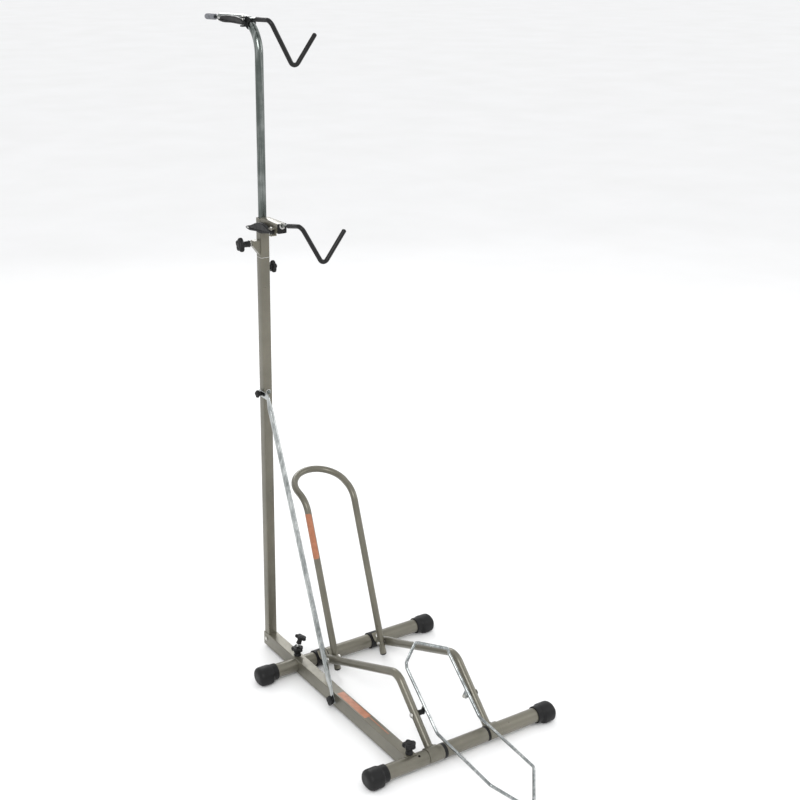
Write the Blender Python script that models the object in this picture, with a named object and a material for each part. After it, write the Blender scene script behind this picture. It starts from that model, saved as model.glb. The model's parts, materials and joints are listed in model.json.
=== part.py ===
"""Two-position bicycle stand: wheel hoop and rocking wire cradle in a two-foot base, and a telescopic
mast with two V-shaped hooks. Metres, +Z up, +X to the right, +Y to the rear, floor at z = 0.

Every position below is measured from the axis of the front foot. One empty carries the whole stand and
moves it so that the world origin lies under the middle of its overall footprint."""

import math

import bmesh
import bpy
from mathutils import Matrix, Vector

# ---------------------------------------------------------------- driving dimensions
REACH_FRONT = 0.275          # nose of the cradle, in front of the front foot's axis
REACH_REAR = 0.975           # end cap of the upper hook, behind that axis
FRONT_FOOT_Y = (REACH_FRONT - REACH_REAR) / 2

GAP = 0.0003                 # air between pieces that touch

FOOT_RADIUS = 0.019
FOOT_WALL = 0.0015
FOOT_HEIGHT = 0.025          # axis of the foot tubes above the floor
FOOT_TUBE_HALF = 0.272
REAR_FOOT = 0.5374           # from the front foot's axis to the rear one's
RINGS = (-0.0605, 0.0745)    # joints between the three lengths of the front foot
RING_WIDTH = 0.009

CAP_INNER, CAP_OUTER = 0.230, 0.288
CAP_SLEEVE_RADIUS = 0.0222
CAP_PAD_HALF = 0.0275
PAD_BOTTOM = -0.0002         # the pad's curve is cut flat by its facets at the floor

BEAM_X = -0.155              # the beam, mast and both hooks' shanks lie in this plane
BEAM_HALF = 0.0143
BEAM_SHEET = 0.0015
BEAM_BOTTOM, BEAM_TOP = 0.007, 0.046
BEAM_FRONT, BEAM_REAR = -0.003, 0.712

MAST_Y = 0.698
MAST_HALF = 0.0125
MAST_WALL = 0.0015
MAST_TOP = 1.1412

POLE_RADIUS = 0.0105
POLE_WALL = 0.0018
POLE_FOOT = 0.840            # lower end of the pole, inside the mast
POLE_CORNER = 1.7263         # where the pole's axis and the tail's axis would meet
POLE_BEND = 0.080
TAIL_DROOP = math.radians(2.0)
TAIL_END = 0.893

CARRIAGE_BOTTOM, CARRIAGE_TOP = 1.1415, 1.242
STUB_HEIGHT = 1.233
STUB_FRONT = 0.600
STUB_WALL = 0.0012

ROD_RADIUS = 0.004
VINYL_RADIUS = 0.00575
VINYL_BORE = 0.0043
UPPER_HOOK_Y = 0.641
LOWER_HOOK_Y = 0.505
LOWER_RISE = math.radians(10.0)

BRACE_X = -0.1713
BRACE_RADIUS = 0.007
BRACE_FOOT = (0.3355, 0.0255)
BRACE_HEAD = (0.6585, 0.7715)
BRACE_PIVOT = (0.696, 0.7715)

RAIL_X = 0.090
RAIL_RADIUS = 0.0105
RAIL_WALL = 0.0015
RAIL_PEAK = (0.158, 0.1738)
CROSSING = (0.4768, 0.0488)  # where a rail and a leg of the hoop are bolted together
TAB_ANGLE = math.radians(135)

HOOP_X = 0.0755
HOOP_RADIUS = 0.0093
HOOP_WALL = 0.0014
HOOP_FOOT = (0.4662, 0.020)
HOOP_KINK = (0.6282, 0.4583)
HOOP_LEAN = math.radians(72.6)
HOOP_RISE = 0.0452

CRADLE_X = 0.066
CRADLE_WIRE = 0.004
PIVOT = (0.079, 0.096)

STUD_RADIUS = 0.004


# ---------------------------------------------------------------- scene, materials, objects
def clear_scene():
    for obj in list(bpy.data.objects):
        bpy.data.objects.remove(obj, do_unlink=True)


def make_material(name, color, metallic, roughness):
    material = bpy.data.materials.new(name)
    material.use_nodes = True
    shader = material.node_tree.nodes["Principled BSDF"]
    shader.inputs["Base Color"].default_value = (*color, 1.0)
    shader.inputs["Metallic"].default_value = metallic
    shader.inputs["Roughness"].default_value = roughness
    material.diffuse_color = (*color, 1.0)
    return material


LOOKS = {
    "olive_paint": ((0.235, 0.222, 0.165), 0.55, 0.38),
    "chrome_plate": ((0.72, 0.74, 0.74), 1.0, 0.12),
    "black_plastic": ((0.018, 0.018, 0.019), 0.0, 0.45),
    "black_vinyl": ((0.014, 0.014, 0.014), 0.0, 0.40),
    "zinc_fastener": ((0.50, 0.50, 0.48), 1.0, 0.34),
}


def new_object(name, mesh_source, look, pivot=(0, 0, 0), smooth=40, helper=False):
    """An object from a bmesh, with its origin at pivot and its own material."""
    pivot = Vector(pivot)
    bmesh.ops.translate(mesh_source, verts=mesh_source.verts, vec=-pivot)
    bmesh.ops.recalc_face_normals(mesh_source, faces=mesh_source.faces)
    mesh = bpy.data.meshes.new(name)
    mesh_source.to_mesh(mesh)
    mesh_source.free()
    mesh.shade_smooth()
    mesh.set_sharp_from_angle(angle=math.radians(smooth))
    obj = bpy.data.objects.new(name, mesh)
    bpy.context.scene.collection.objects.link(obj)
    obj.location = pivot
    obj.parent = stand
    if helper:
        obj.hide_render = True
        obj.display_type = "WIRE"
    else:
        mesh.materials.append(make_material(name, *LOOKS[look]))
    return obj


def boolean(target, helper, operation):
    modifier = target.modifiers.new(operation.title() + "_" + helper.name, "BOOLEAN")
    modifier.operation = operation
    modifier.object = helper
    modifier.solver = "EXACT"


# ---------------------------------------------------------------- building blocks
def loft(rings, loop=False, caps=True):
    """Faces between rings of points. A loop joins the last ring to the first; else both ends are capped."""
    made = bmesh.new()
    rows = [[made.verts.new(point) for point in ring] for ring in rings]
    count = len(rows[0])
    pairs = list(zip(rows, rows[1:])) + ([(rows[-1], rows[0])] if loop else [])
    for low, high in pairs:
        for i in range(count):
            j = (i + 1) % count
            made.faces.new((low[i], low[j], high[j], high[i]))
    if caps and not loop:
        made.faces.new(rows[0])
        made.faces.new(rows[-1])
    return made


def join(*parts):
    """One bmesh holding several separate ones."""
    whole = bmesh.new()
    for part in parts:
        scratch = bpy.data.meshes.new("scratch")
        part.to_mesh(scratch)
        part.free()
        whole.from_mesh(scratch)
        bpy.data.meshes.remove(scratch)
    return whole


def frame_along(axis, origin=(0, 0, 0), side=(1, 0, 0)):
    """A matrix whose Z column is axis, placed at origin."""
    z = Vector(axis).normalized()
    x = Vector(side) - z * z.dot(Vector(side))
    if x.length < 1e-6:
        x = Vector((0, 1, 0)) - z * z.y
    x.normalize()
    turn = Matrix((x, z.cross(x), z)).transposed().to_4x4()
    return Matrix.Translation(origin) @ turn


def turned(profile, sides, place, bore=None):
    """A turned piece: profile is (radius, height) pairs; bore is (radius, low, high), open at both ends."""
    def ring(radius, height):
        angles = [2 * math.pi * i / sides for i in range(sides)]
        return [place @ Vector((radius * math.cos(a), radius * math.sin(a), height)) for a in angles]

    rings = [ring(r, h) for r, h in profile]
    if bore is None:
        return loft(rings)
    radius, low, high = bore
    return loft(rings + [ring(radius, high), ring(radius, low)], loop=True)


def outline_prism(outline, depth, place):
    """A flat outline (x, y pairs) extruded by depth along Z, centred on the outline's plane."""
    rings = [[place @ Vector((x, y, z)) for x, y in outline] for z in (-depth / 2, depth / 2)]
    return loft(rings)


def soft_prism(outline, depth, edge, place):
    """A prism whose two faces are drawn in by edge, as a moulded piece is."""
    cx = sum(x for x, _ in outline) / len(outline)
    cy = sum(y for _, y in outline) / len(outline)

    def ring(z, inset):
        points = []
        for x, y in outline:
            reach = math.hypot(x - cx, y - cy)
            k = 1 - inset / max(reach, 2 * inset) if inset else 1
            points.append(place @ Vector((cx + (x - cx) * k, cy + (y - cy) * k, z)))
        return points

    half = depth / 2
    return loft([ring(-half, edge), ring(-half + edge, 0), ring(half - edge, 0), ring(half, edge)])


def rounded_square(half, radius, steps=2):
    points = []
    for quarter in range(4):
        turn = quarter * math.pi / 2
        c, s = math.cos(turn), math.sin(turn)
        corner = (half - radius) * (c - s), (half - radius) * (s + c)
        for i in range(steps + 1):
            angle = turn + (math.pi / 2) * i / steps
            points.append((corner[0] + radius * math.cos(angle), corner[1] + radius * math.sin(angle)))
    return points


def square_tube(half, wall, low, high, place, radius=0.002):
    def ring(size, bend, z):
        return [place @ Vector((x, y, z)) for x, y in rounded_square(size, bend)]

    inner = half - wall
    bend = max(radius - wall, 0.0006)
    outer = [ring(half, radius, low), ring(half, radius, high)]
    return loft(outer + [ring(inner, bend, high), ring(inner, bend, low)], loop=True)


def rounded_path(corners, radii, steps=5):
    """A polyline through corners, each inner corner replaced by an arc of its own radius."""
    points = [Vector(corners[0])]
    for before, corner, after, radius in zip(corners, corners[1:], corners[2:], radii):
        before, corner, after = Vector(before), Vector(corner), Vector(after)
        inward = (before - corner).normalized()
        outward = (after - corner).normalized()
        half = inward.angle(outward) / 2
        reach = radius / math.tan(half)
        centre = corner + (inward + outward).normalized() * (radius / math.sin(half))
        start = corner + inward * reach - centre
        turn = math.pi - 2 * half
        axis = (-inward).cross(outward).normalized()
        for i in range(steps + 1):
            points.append(centre + Matrix.Rotation(turn * i / steps, 3, axis) @ start)
    points.append(Vector(corners[-1]))
    return points


def closed_path(corners, radii, steps=3):
    """The same for a closed outline."""
    around = [corners[-1], *corners, corners[0]]
    return rounded_path(around, radii, steps)[1:-1]


def frames_on(points, first_side, closed=False):
    """(point, side, up, tangent) along a path, with no more twist than the path itself has."""
    count = len(points)
    tangents = []
    for i, point in enumerate(points):
        after = points[(i + 1) % count] if closed or i + 1 < count else None
        before = points[i - 1] if closed or i else None
        if after is None:
            tangent = point - before
        elif before is None:
            tangent = after - point
        else:
            tangent = (after - point).normalized() + (point - before).normalized()
        tangents.append(tangent.normalized())
    side = Vector(first_side)
    sides = []
    for i, tangent in enumerate(tangents):
        if i:
            side = tangents[i - 1].rotation_difference(tangent) @ side
        side = (side - tangent * tangent.dot(side)).normalized()
        sides.append(side)
    if closed:
        last = tangents[-1].rotation_difference(tangents[0]) @ sides[-1]
        twist = math.atan2(last.cross(sides[0]).dot(tangents[0]), last.dot(sides[0]))
        for i, tangent in enumerate(tangents):
            sides[i] = Matrix.Rotation(twist * i / count, 3, tangent) @ sides[i]
    return [(p, s, t.cross(s), t) for p, s, t in zip(points, sides, tangents)]


def swept_rings(frames, half_side, half_up, sides, power=2.0, shift=0.0):
    """Rings along frames. Each size may be one number or a list with one number for each frame."""
    def value(size, i):
        return size[i] if isinstance(size, (list, tuple)) else size

    rings = []
    for i, (point, side, up, _) in enumerate(frames):
        a, b = value(half_side, i), value(half_up, i)
        bend = 2 / value(power, i)
        ring = []
        for j in range(sides):
            angle = 2 * math.pi * (j + 0.5) / sides
            c, s = math.cos(angle), math.sin(angle)
            across = math.copysign(abs(c) ** bend, c) * a + value(shift, i)
            ring.append(point + side * across + up * math.copysign(abs(s) ** bend, s) * b)
        rings.append(ring)
    return rings


def rod(points, radius, sides, first_side=(1, 0, 0), closed=False, blunt=0.0):
    """A solid wire or rod. blunt rounds both of its ends by that much."""
    frames = frames_on(points, first_side, closed)
    rings = swept_rings(frames, radius, radius, sides)
    if not closed and blunt:
        ends = []
        for index, sign in ((0, -1), (-1, 1)):
            point, side, up, tangent = frames[index]
            tip = (point + tangent * sign * blunt, side, up, tangent)
            ends.append(swept_rings([tip], radius * 0.62, radius * 0.62, sides)[0])
        rings = [ends[0], *rings, ends[1]]
    return loft(rings, loop=closed)


def pipe(points, radius, bore, sides, first_side=(1, 0, 0)):
    """A tube that is open at both ends."""
    frames = frames_on(points, first_side)
    outer = swept_rings(frames, radius, radius, sides)
    inner = swept_rings(frames, bore, bore, sides)
    return loft(outer + inner[::-1], loop=True)


def dipped_sleeve(points, radius, bore, sides, end_wall):
    """A soft sleeve with an open start and a closed, rounded far end."""
    frames = frames_on(points, (1, 0, 0))
    outer = swept_rings(frames, radius, radius, sides)
    point, side, up, tangent = frames[-1]
    tip = (point + tangent * end_wall, side, up, tangent)
    mid = (point + tangent * end_wall * 0.55, side, up, tangent)
    outer.append(swept_rings([mid], radius * 0.88, radius * 0.88, sides)[0])
    outer.append(swept_rings([tip], radius * 0.45, radius * 0.45, sides)[0])
    inner = swept_rings(frames, bore, bore, sides)
    return loft(outer[::-1] + inner)


def drill(target, holes, sides=8):
    """Round holes: each is (centre, axis, radius, length). A facet's middle lies at the radius."""
    drills = []
    for centre, axis, radius, length in holes:
        corner = radius / math.cos(math.pi / sides)
        profile = [(corner, -length / 2), (corner, length / 2)]
        drills.append(turned(profile, sides, frame_along(axis, centre)))
    boolean(target, new_object(target.name + "_drill", join(*drills), None, helper=True), "DIFFERENCE")


def fastener(name, centre, axis, shank, reach, head, head_height, nut=None, nut_height=0.0):
    """A bolt: a domed head at centre, its shank back along -axis for reach; nut adds one at its end."""
    profile = [(shank, -reach), (shank, 0), (head, 0), (head, head_height * 0.45), (head * 0.55, head_height)]
    if nut:
        low = -reach - nut_height
        profile = [(shank, low - 0.002), (shank, low), (nut, low), (nut, -reach)] + profile
    return new_object(name, turned(profile, 10, frame_along(axis, centre)), "zinc_fastener", centre)


def star_knob(name, base, axis, radius, head, hub, length, bore=None, stud=None, lobes=5, side=(1, 0, 0)):
    """A lobed hand knob. base is the foot of its hub; stud is the length of a moulded-in screw below it."""
    place = frame_along(axis, base, side)
    count = lobes * 4

    def ring(size, height, depth):
        points = []
        for i in range(count):
            angle = 2 * math.pi * i / count
            r = size * (1 - depth * (0.5 - 0.5 * math.cos(lobes * angle)))
            points.append(place @ Vector((r * math.cos(angle), r * math.sin(angle), height)))
        return points

    rings = []
    if stud:
        rings += [ring(STUD_RADIUS, -stud, 0), ring(STUD_RADIUS, 0, 0)]
    rings += [
        ring(hub, 0, 0),
        ring(hub * 0.86, length * 0.92, 0),
        ring(radius * 0.93, length + head * 0.10, 0.24),
        ring(radius, length + head * 0.70, 0.24),
        ring(radius * 0.78, length + head, 0.20),
    ]
    if bore:
        r, depth = bore
        rings = [ring(r, depth, 0), ring(r, 0, 0)] + rings
    return new_object(name, loft(rings), "black_plastic", base)


# ---------------------------------------------------------------- feet
def foot_tube(name, low, high, y):
    place = frame_along((1, 0, 0), (0, y, FOOT_HEIGHT), (0, 1, 0))
    profile = [(FOOT_RADIUS, low), (FOOT_RADIUS, high)]
    tube = turned(profile, 20, place, (FOOT_RADIUS - FOOT_WALL, low, high))
    return new_object(name, tube, "olive_paint")


def foot_cap(name, side, y):
    """A moulded cap: a sleeve on the tube, and a pad under its outer two thirds."""
    count = 20

    def section(x, half_width, top, bottom, power):
        ring = []
        for i in range(count):
            angle = 2 * math.pi * (i + 0.5) / count
            c, s = math.cos(angle), math.sin(angle)
            bend = 1.0 if s > 0 else 2 / power
            height = (top - FOOT_HEIGHT) if s > 0 else (FOOT_HEIGHT - bottom)
            across = math.copysign(abs(c) ** bend, c) * half_width
            up = math.copysign(abs(s) ** bend, s) * height
            ring.append(Vector((side * x, y + across, FOOT_HEIGHT + up)))
        return ring

    r = CAP_SLEEVE_RADIUS
    rings = [
        section(CAP_INNER, r, FOOT_HEIGHT + r, FOOT_HEIGHT - r, 2.0),
        section(CAP_INNER + 0.014, r, FOOT_HEIGHT + r, FOOT_HEIGHT - r, 2.0),
        section(CAP_INNER + 0.018, CAP_PAD_HALF - 0.0015, FOOT_HEIGHT + r + 0.0004, 0.0006, 2.9),
        section(CAP_INNER + 0.022, CAP_PAD_HALF, FOOT_HEIGHT + r + 0.0006, PAD_BOTTOM, 3.1),
        section(CAP_OUTER - 0.012, CAP_PAD_HALF, FOOT_HEIGHT + r + 0.0004, PAD_BOTTOM, 3.1),
        section(CAP_OUTER - 0.005, CAP_PAD_HALF - 0.003, FOOT_HEIGHT + r - 0.003, 0.002, 2.8),
        section(CAP_OUTER, CAP_PAD_HALF - 0.0125, FOOT_HEIGHT + r - 0.0115, 0.0105, 2.4),
    ]
    bore = FOOT_RADIUS + GAP
    floor = FOOT_TUBE_HALF + GAP
    high, low = FOOT_HEIGHT + bore, FOOT_HEIGHT - bore
    bore_rings = [section(x, bore, high, low, 2.0) for x in (CAP_INNER, floor)]
    return new_object(name, loft(rings[::-1] + bore_rings), "black_plastic")


def build_feet():
    edges = [(x - RING_WIDTH / 2, x + RING_WIDTH / 2) for x in RINGS]
    front = [
        foot_tube("front_foot_tube_left", -FOOT_TUBE_HALF, edges[0][0] - GAP, 0),
        foot_tube("front_foot_tube_middle", edges[0][1] + GAP, edges[1][0] - GAP, 0),
        foot_tube("front_foot_tube_right", edges[1][1] + GAP, FOOT_TUBE_HALF, 0),
    ]
    place = frame_along((1, 0, 0), (0, 0, FOOT_HEIGHT), (0, 1, 0))
    inner = FOOT_RADIUS - FOOT_WALL
    for label, (low, high), middle in zip(("left", "right"), edges, RINGS):
        r = FOOT_RADIUS + 0.0001
        ring = turned([(r, low), (r, high)], 20, place, (inner, low, high))
        new_object("front_joint_ring_" + label, ring, "black_plastic")
        start, end = middle - 0.040, middle + 0.040
        r = inner - 0.0004
        spigot = turned([(r, start), (r, end)], 14, place, (r - 0.0018, start, end))
        new_object("front_joint_spigot_" + label, spigot, "zinc_fastener")
    drill(front[0], [
        ((BEAM_X, 0.010, FOOT_HEIGHT + 0.015), (0, 0, 1), STUD_RADIUS + GAP, 0.022),
        ((-0.1370, -0.0075, FOOT_HEIGHT + 0.0165), (0, -0.4, 0.9), 0.0032, 0.012),
    ])
    rear = foot_tube("rear_foot_tube", -FOOT_TUBE_HALF, FOOT_TUBE_HALF, REAR_FOOT)
    outward = Vector((0, math.cos(TAB_ANGLE), math.sin(TAB_ANGLE)))
    axis_point = Vector((0, REAR_FOOT, FOOT_HEIGHT))
    holes = []
    for label, side in (("left", -1), ("right", 1)):
        x = side * RAIL_X
        centre = axis_point + outward * 0.0205 + Vector((x, 0, 0))
        place = frame_along((1, 0, 0), (0, REAR_FOOT, FOOT_HEIGHT), (0, 1, 0))
        low, high = x - 0.019, x + 0.019
        r = FOOT_RADIUS + 0.0034
        profile = [(r - 0.0006, low), (r, low + 0.0012), (r, high - 0.0012), (r - 0.0006, high)]
        band = turned(profile, 20, place, (FOOT_RADIUS + GAP, low, high))
        collar = new_object("rear_collar_" + label, band, "black_plastic")
        hole = (centre, outward, 0.0033, 0.016)
        drill(collar, [hole])
        holes.append(hole)
        bolt_seat = axis_point + outward * (FOOT_RADIUS + 0.0088 + GAP) + Vector((x, 0, 0))
        fastener("rail_rear_bolt_" + label, bolt_seat, outward, 0.003, 0.0135, 0.0062, 0.0035)
    holes.append(((BEAM_X, REAR_FOOT + 0.0106, FOOT_HEIGHT + 0.015), (0, 0, 1), STUD_RADIUS + GAP, 0.022))
    drill(rear, holes)
    for foot, y in (("front", 0), ("rear", REAR_FOOT)):
        for label, side in (("left", -1), ("right", 1)):
            foot_cap(f"{foot}_foot_cap_{label}", side, y)


# ---------------------------------------------------------------- beam, mast and brace
def build_beam():
    """An open channel, web on top, notched over both feet; its rear end straddles the mast."""
    b, t = BEAM_HALF, BEAM_SHEET
    bottom, top = BEAM_BOTTOM, BEAM_TOP
    lip = 0.0012
    section = [
        (-b, bottom), (-b, top - lip), (-b + lip, top), (b - lip, top), (b, top - lip), (b, bottom),
        (b - t, bottom), (b - t, top - t), (-b + t, top - t), (-b + t, bottom),
    ]
    rings = [[Vector((BEAM_X + x, y, z)) for x, z in section] for y in (BEAM_FRONT, BEAM_REAR)]
    beam = new_object("base_beam", loft(rings), "olive_paint", smooth=30)
    cutters = []
    for y in (0, REAR_FOOT):
        place = frame_along((1, 0, 0), (BEAM_X, y, FOOT_HEIGHT), (0, 1, 0))
        r = FOOT_RADIUS + GAP + 0.0001
        cutters.append(turned([(r, -0.03), (r, 0.03)], 24, place))
    web = bmesh.new()
    bmesh.ops.create_cube(web, size=1)
    front = MAST_Y - MAST_HALF - GAP
    bmesh.ops.scale(web, verts=web.verts, vec=(2 * (b - t), 0.060, 0.02))
    bmesh.ops.translate(web, verts=web.verts, vec=(BEAM_X, front + 0.030, top))
    cutters.append(web)
    boolean(beam, new_object("base_beam_cutter", join(*cutters), None, helper=True), "DIFFERENCE")
    drill(beam, [
        ((BEAM_X, 0.010, BEAM_TOP), (0, 0, 1), STUD_RADIUS + GAP, 0.006),
        ((BEAM_X, REAR_FOOT + 0.0106, BEAM_TOP), (0, 0, 1), STUD_RADIUS + GAP, 0.006),
        ((BEAM_X, MAST_Y, 0.0275), (1, 0, 0), 0.0033, 0.05),
        ((BEAM_X - BEAM_HALF, *BRACE_FOOT), (1, 0, 0), 0.0033, 0.012),
    ])


def build_mast():
    place = Matrix.Translation((BEAM_X, MAST_Y, 0))
    tube = square_tube(MAST_HALF, MAST_WALL, 0.0072, MAST_TOP, place)
    mast = new_object("mast_tube", tube, "olive_paint", smooth=30)
    drill(mast, [
        ((BEAM_X, MAST_Y, 0.0275), (1, 0, 0), 0.0033, 0.05),
        ((BEAM_X - MAST_HALF, *BRACE_PIVOT), (1, 0, 0), 0.0033, 0.012),
        ((BEAM_X + MAST_HALF, MAST_Y, 1.111), (1, 0, 0), STUD_RADIUS + GAP, 0.012),
    ])
    reach = 2 * BEAM_HALF + 2 * GAP
    fastener("mast_base_bolt", (BEAM_X - BEAM_HALF - GAP, MAST_Y, 0.0275), (-1, 0, 0), 0.003, reach,
             0.006, 0.0035, 0.0052, 0.0045)


def build_brace():
    """A plated tube from beam to mast, both ends pressed flat; the upper one turns back along the mast."""
    foot, head, pivot = Vector((0, *BRACE_FOOT)), Vector((0, *BRACE_HEAD)), Vector((0, *BRACE_PIVOT))
    along = (head - foot).normalized()
    start = foot - along * 0.010
    end = pivot + (pivot - head).normalized() * 0.010
    path = [start, foot] + [foot + along * s for s in (0.014, 0.024, 0.032, 0.040, 0.048, 0.056)]
    path += rounded_path([head - along * 0.050, head, end], [0.011], 4)
    for point in path:
        point.x = BRACE_X
    frames = frames_on(path, (1, 0, 0))
    thin, wide = [], []
    for point, _, _, _ in frames:
        low = (point.z - foot.z) / along.z
        high = (head.z - 0.004 - point.z) / along.z
        k = min(max((min(low - 0.026, high)) / 0.028, 0), 1)
        k = k * k * (3 - 2 * k)
        thin.append(0.0015 + (BRACE_RADIUS - 0.0015) * k)
        wide.append(0.0088 + (BRACE_RADIUS - 0.0088) * k)
    power = [2 + 2 * (BRACE_RADIUS - t) / BRACE_RADIUS for t in thin]
    outer = swept_rings(frames, thin, wide, 12, power)
    cut = len(frames) - 5
    wall = 0.0011
    inner_thin = [t - wall for t in thin[:cut]]
    inner_wide = [w - wall for w in wide[:cut]]
    inner = swept_rings(frames[:cut], inner_thin, inner_wide, 12, power[:cut])
    brace = new_object("brace_tube", loft(outer[::-1] + inner), "chrome_plate")
    drill(brace, [
        ((BRACE_X, *BRACE_FOOT), (1, 0, 0), 0.0033, 0.012),
        ((BRACE_X, *BRACE_PIVOT), (1, 0, 0), 0.0033, 0.012),
    ])
    out = BRACE_X - 0.0015 - GAP
    ends = (("lower", BRACE_FOOT, 0.0145, BEAM_HALF), ("upper", BRACE_PIVOT, 0.0105, MAST_HALF))
    for label, (y, z), radius, seat in ends:
        inner_end = BEAM_X - seat + (0.006 if label == "lower" else 0.0015)
        star_knob(f"brace_{label}_knob", (out, y, z), (-1, 0, 0), radius, 0.008, radius * 0.62, 0.0045,
                  bore=(0.0033, 0.0085), lobes=4, side=(0, 0, 1))
        screw = turned([(0.003, -0.0078), (0.003, inner_end - out)], 10, frame_along((1, 0, 0), (out, y, z)))
        new_object(f"brace_{label}_screw", screw, "zinc_fastener", (out, y, z))


# ---------------------------------------------------------------- wheel rails, hoop and cradle
def build_rail(label, side):
    x = side * RAIL_X
    peak = Vector((x, *RAIL_PEAK))
    front = Vector((x, 0.006, 0.0233))
    slope = math.atan(0.392)
    down = Vector((0, math.cos(slope), -math.sin(slope)))
    outward = Vector((0, math.cos(TAB_ANGLE), math.sin(TAB_ANGLE)))
    bolt = Vector((x, REAR_FOOT, FOOT_HEIGHT)) + outward * (FOOT_RADIUS + 0.0066)
    up = Vector((0, -math.sin(math.radians(45 + 180)), math.sin(math.radians(45))))
    turn = bolt - up * 0.0111
    tip = bolt + up * 0.0125
    corners = [front, peak, turn, tip]
    path = rounded_path(corners, [0.040, 0.008], 4)
    stations = [0.0, 0.30, 0.40, 0.425, 0.455, 0.486, 0.494, 0.502]
    straight = []
    for y in stations[1:]:
        k = (y - peak.y) / down.y
        straight.append(peak + down * k)
    path = path[:6] + straight[1:] + path[6:]
    frames = frames_on(path, (side, 0, 0))
    thin, wide, power, shift = [], [], [], []
    for point, _, _, _ in frames:
        y = point.y
        cross = min(max((y - 0.400) / 0.055, 0), 1)
        tab = min(max((y - 0.486) / 0.016, 0), 1)
        cross, tab = (k * k * (3 - 2 * k) for k in (cross, tab))
        a = RAIL_RADIUS + (0.0070 - RAIL_RADIUS) * cross
        b = RAIL_RADIUS + (0.0125 - RAIL_RADIUS) * cross
        thin.append(a + (0.0140 - a) * tab)
        wide.append(b + (0.0020 - b) * tab)
        power.append(2 + 0.6 * cross + 1.9 * tab)
        shift.append(0.0022 * cross * (1 - tab))
    outer = swept_rings(frames, thin, wide, 14, power, shift)
    hollow = [i for i, (point, _, _, _) in enumerate(frames) if point.y < 0.41 and i < 12]
    cut = hollow[-1] + 1
    thin_bore, wide_bore = ([size - RAIL_WALL for size in sizes[:cut]] for sizes in (thin, wide))
    inner = swept_rings(frames[:cut], thin_bore, wide_bore, 14)
    rail = new_object("side_rail_" + label, loft(outer[::-1] + inner), "olive_paint")
    saddle_outer = FOOT_RADIUS + 0.0026
    outline = []
    for r, order in ((saddle_outer, 1), (FOOT_RADIUS - 0.002, -1)):
        arc = [math.radians(-15 + 210 * i / 14) for i in range(15)][::order]
        outline += [(r * math.cos(a), r * math.sin(a)) for a in arc]
    place = frame_along((1, 0, 0), (side * 0.0935, 0, FOOT_HEIGHT), (0, 1, 0))
    saddle = new_object(f"side_rail_{label}_saddle", outline_prism(outline, 0.034, place), None, helper=True)
    boolean(rail, saddle, "UNION")
    foot = turned([(FOOT_RADIUS + GAP + 0.0001, -0.04), (FOOT_RADIUS + GAP + 0.0001, 0.04)], 24, place)
    boolean(rail, new_object(f"side_rail_{label}_foot_cut", foot, None, helper=True), "DIFFERENCE")
    drill(rail, [
        ((side * (RAIL_X + 0.0022), *CROSSING), (1, 0, 0), 0.0033, 0.03),
        (bolt, outward, 0.0033, 0.012),
        ((x, *PIVOT), (1, 0, 0), 0.0033, 0.04),
    ])


def build_hoop():
    """Two leaning legs and a bent-back arch, all one tube."""
    foot, kink = Vector((-HOOP_X, *HOOP_FOOT)), Vector((-HOOP_X, *HOOP_KINK))
    back = Vector((0, math.sin(HOOP_LEAN), math.cos(HOOP_LEAN)))
    spring = kink + back * HOOP_RISE
    leg = rounded_path([foot, kink, spring], [0.060], 3)
    rise = (kink - foot).normalized()
    lower = [foot + rise * (z - foot.z) / rise.z for z in (0.032, 0.041, 0.057, 0.090)]
    leg = [leg[0], *lower, *leg[1:]]
    arch = []
    centre = spring + Vector((HOOP_X, 0, 0))
    steps = 12
    for i in range(1, steps):
        angle = math.pi * i / steps
        arch.append(centre + Vector((-math.cos(angle) * HOOP_X, 0, 0)) + back * math.sin(angle) * HOOP_X)
    other = [Vector((-p.x, p.y, p.z)) for p in leg[::-1]]
    path = leg + arch + other
    frames = frames_on(path, (1, 0, 0))
    thin, wide = [], []
    for point, _, _, _ in frames:
        away = abs(point.z - CROSSING[1])
        taper = 0.026 if point.z > CROSSING[1] else 0.014
        k = min(max((away - 0.010) / taper, 0), 1)
        k = k * k * (3 - 2 * k)
        thin.append(0.0080 + (HOOP_RADIUS - 0.0080) * k)
        wide.append(0.0102 + (HOOP_RADIUS - 0.0102) * k)
    outer = swept_rings(frames, thin, wide, 14)
    inner = swept_rings(frames, [a - HOOP_WALL for a in thin], [b - HOOP_WALL for b in wide], 14)
    hoop = new_object("wheel_hoop", loft(outer + inner[::-1], loop=True), "olive_paint")
    holes = []
    for label, side in (("left", -1), ("right", 1)):
        y, z = CROSSING
        holes.append(((side * HOOP_X, y, z), (1, 0, 0), 0.0033, 0.03))
        seat = side * (RAIL_X + 0.0022 + 0.0070 + GAP)
        reach = abs(seat) - (HOOP_X - 0.0080 - GAP)
        fastener("hoop_bolt_" + label, (seat, y, z), (side, 0, 0), 0.003, reach,
                 0.0062, 0.0036, 0.0052, 0.0045)
        end = Vector((side * HOOP_X, *HOOP_FOOT))
        r = HOOP_RADIUS - HOOP_WALL - 0.0015
        plug = [(r, -0.008), (r, GAP), (HOOP_RADIUS, GAP), (HOOP_RADIUS - 0.0004, 0.002), (0.0055, 0.0048)]
        profile = turned(plug, 12, frame_along(-rise, end))
        new_object("hoop_end_plug_" + label, profile, "black_plastic")
    drill(hoop, holes)


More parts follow.
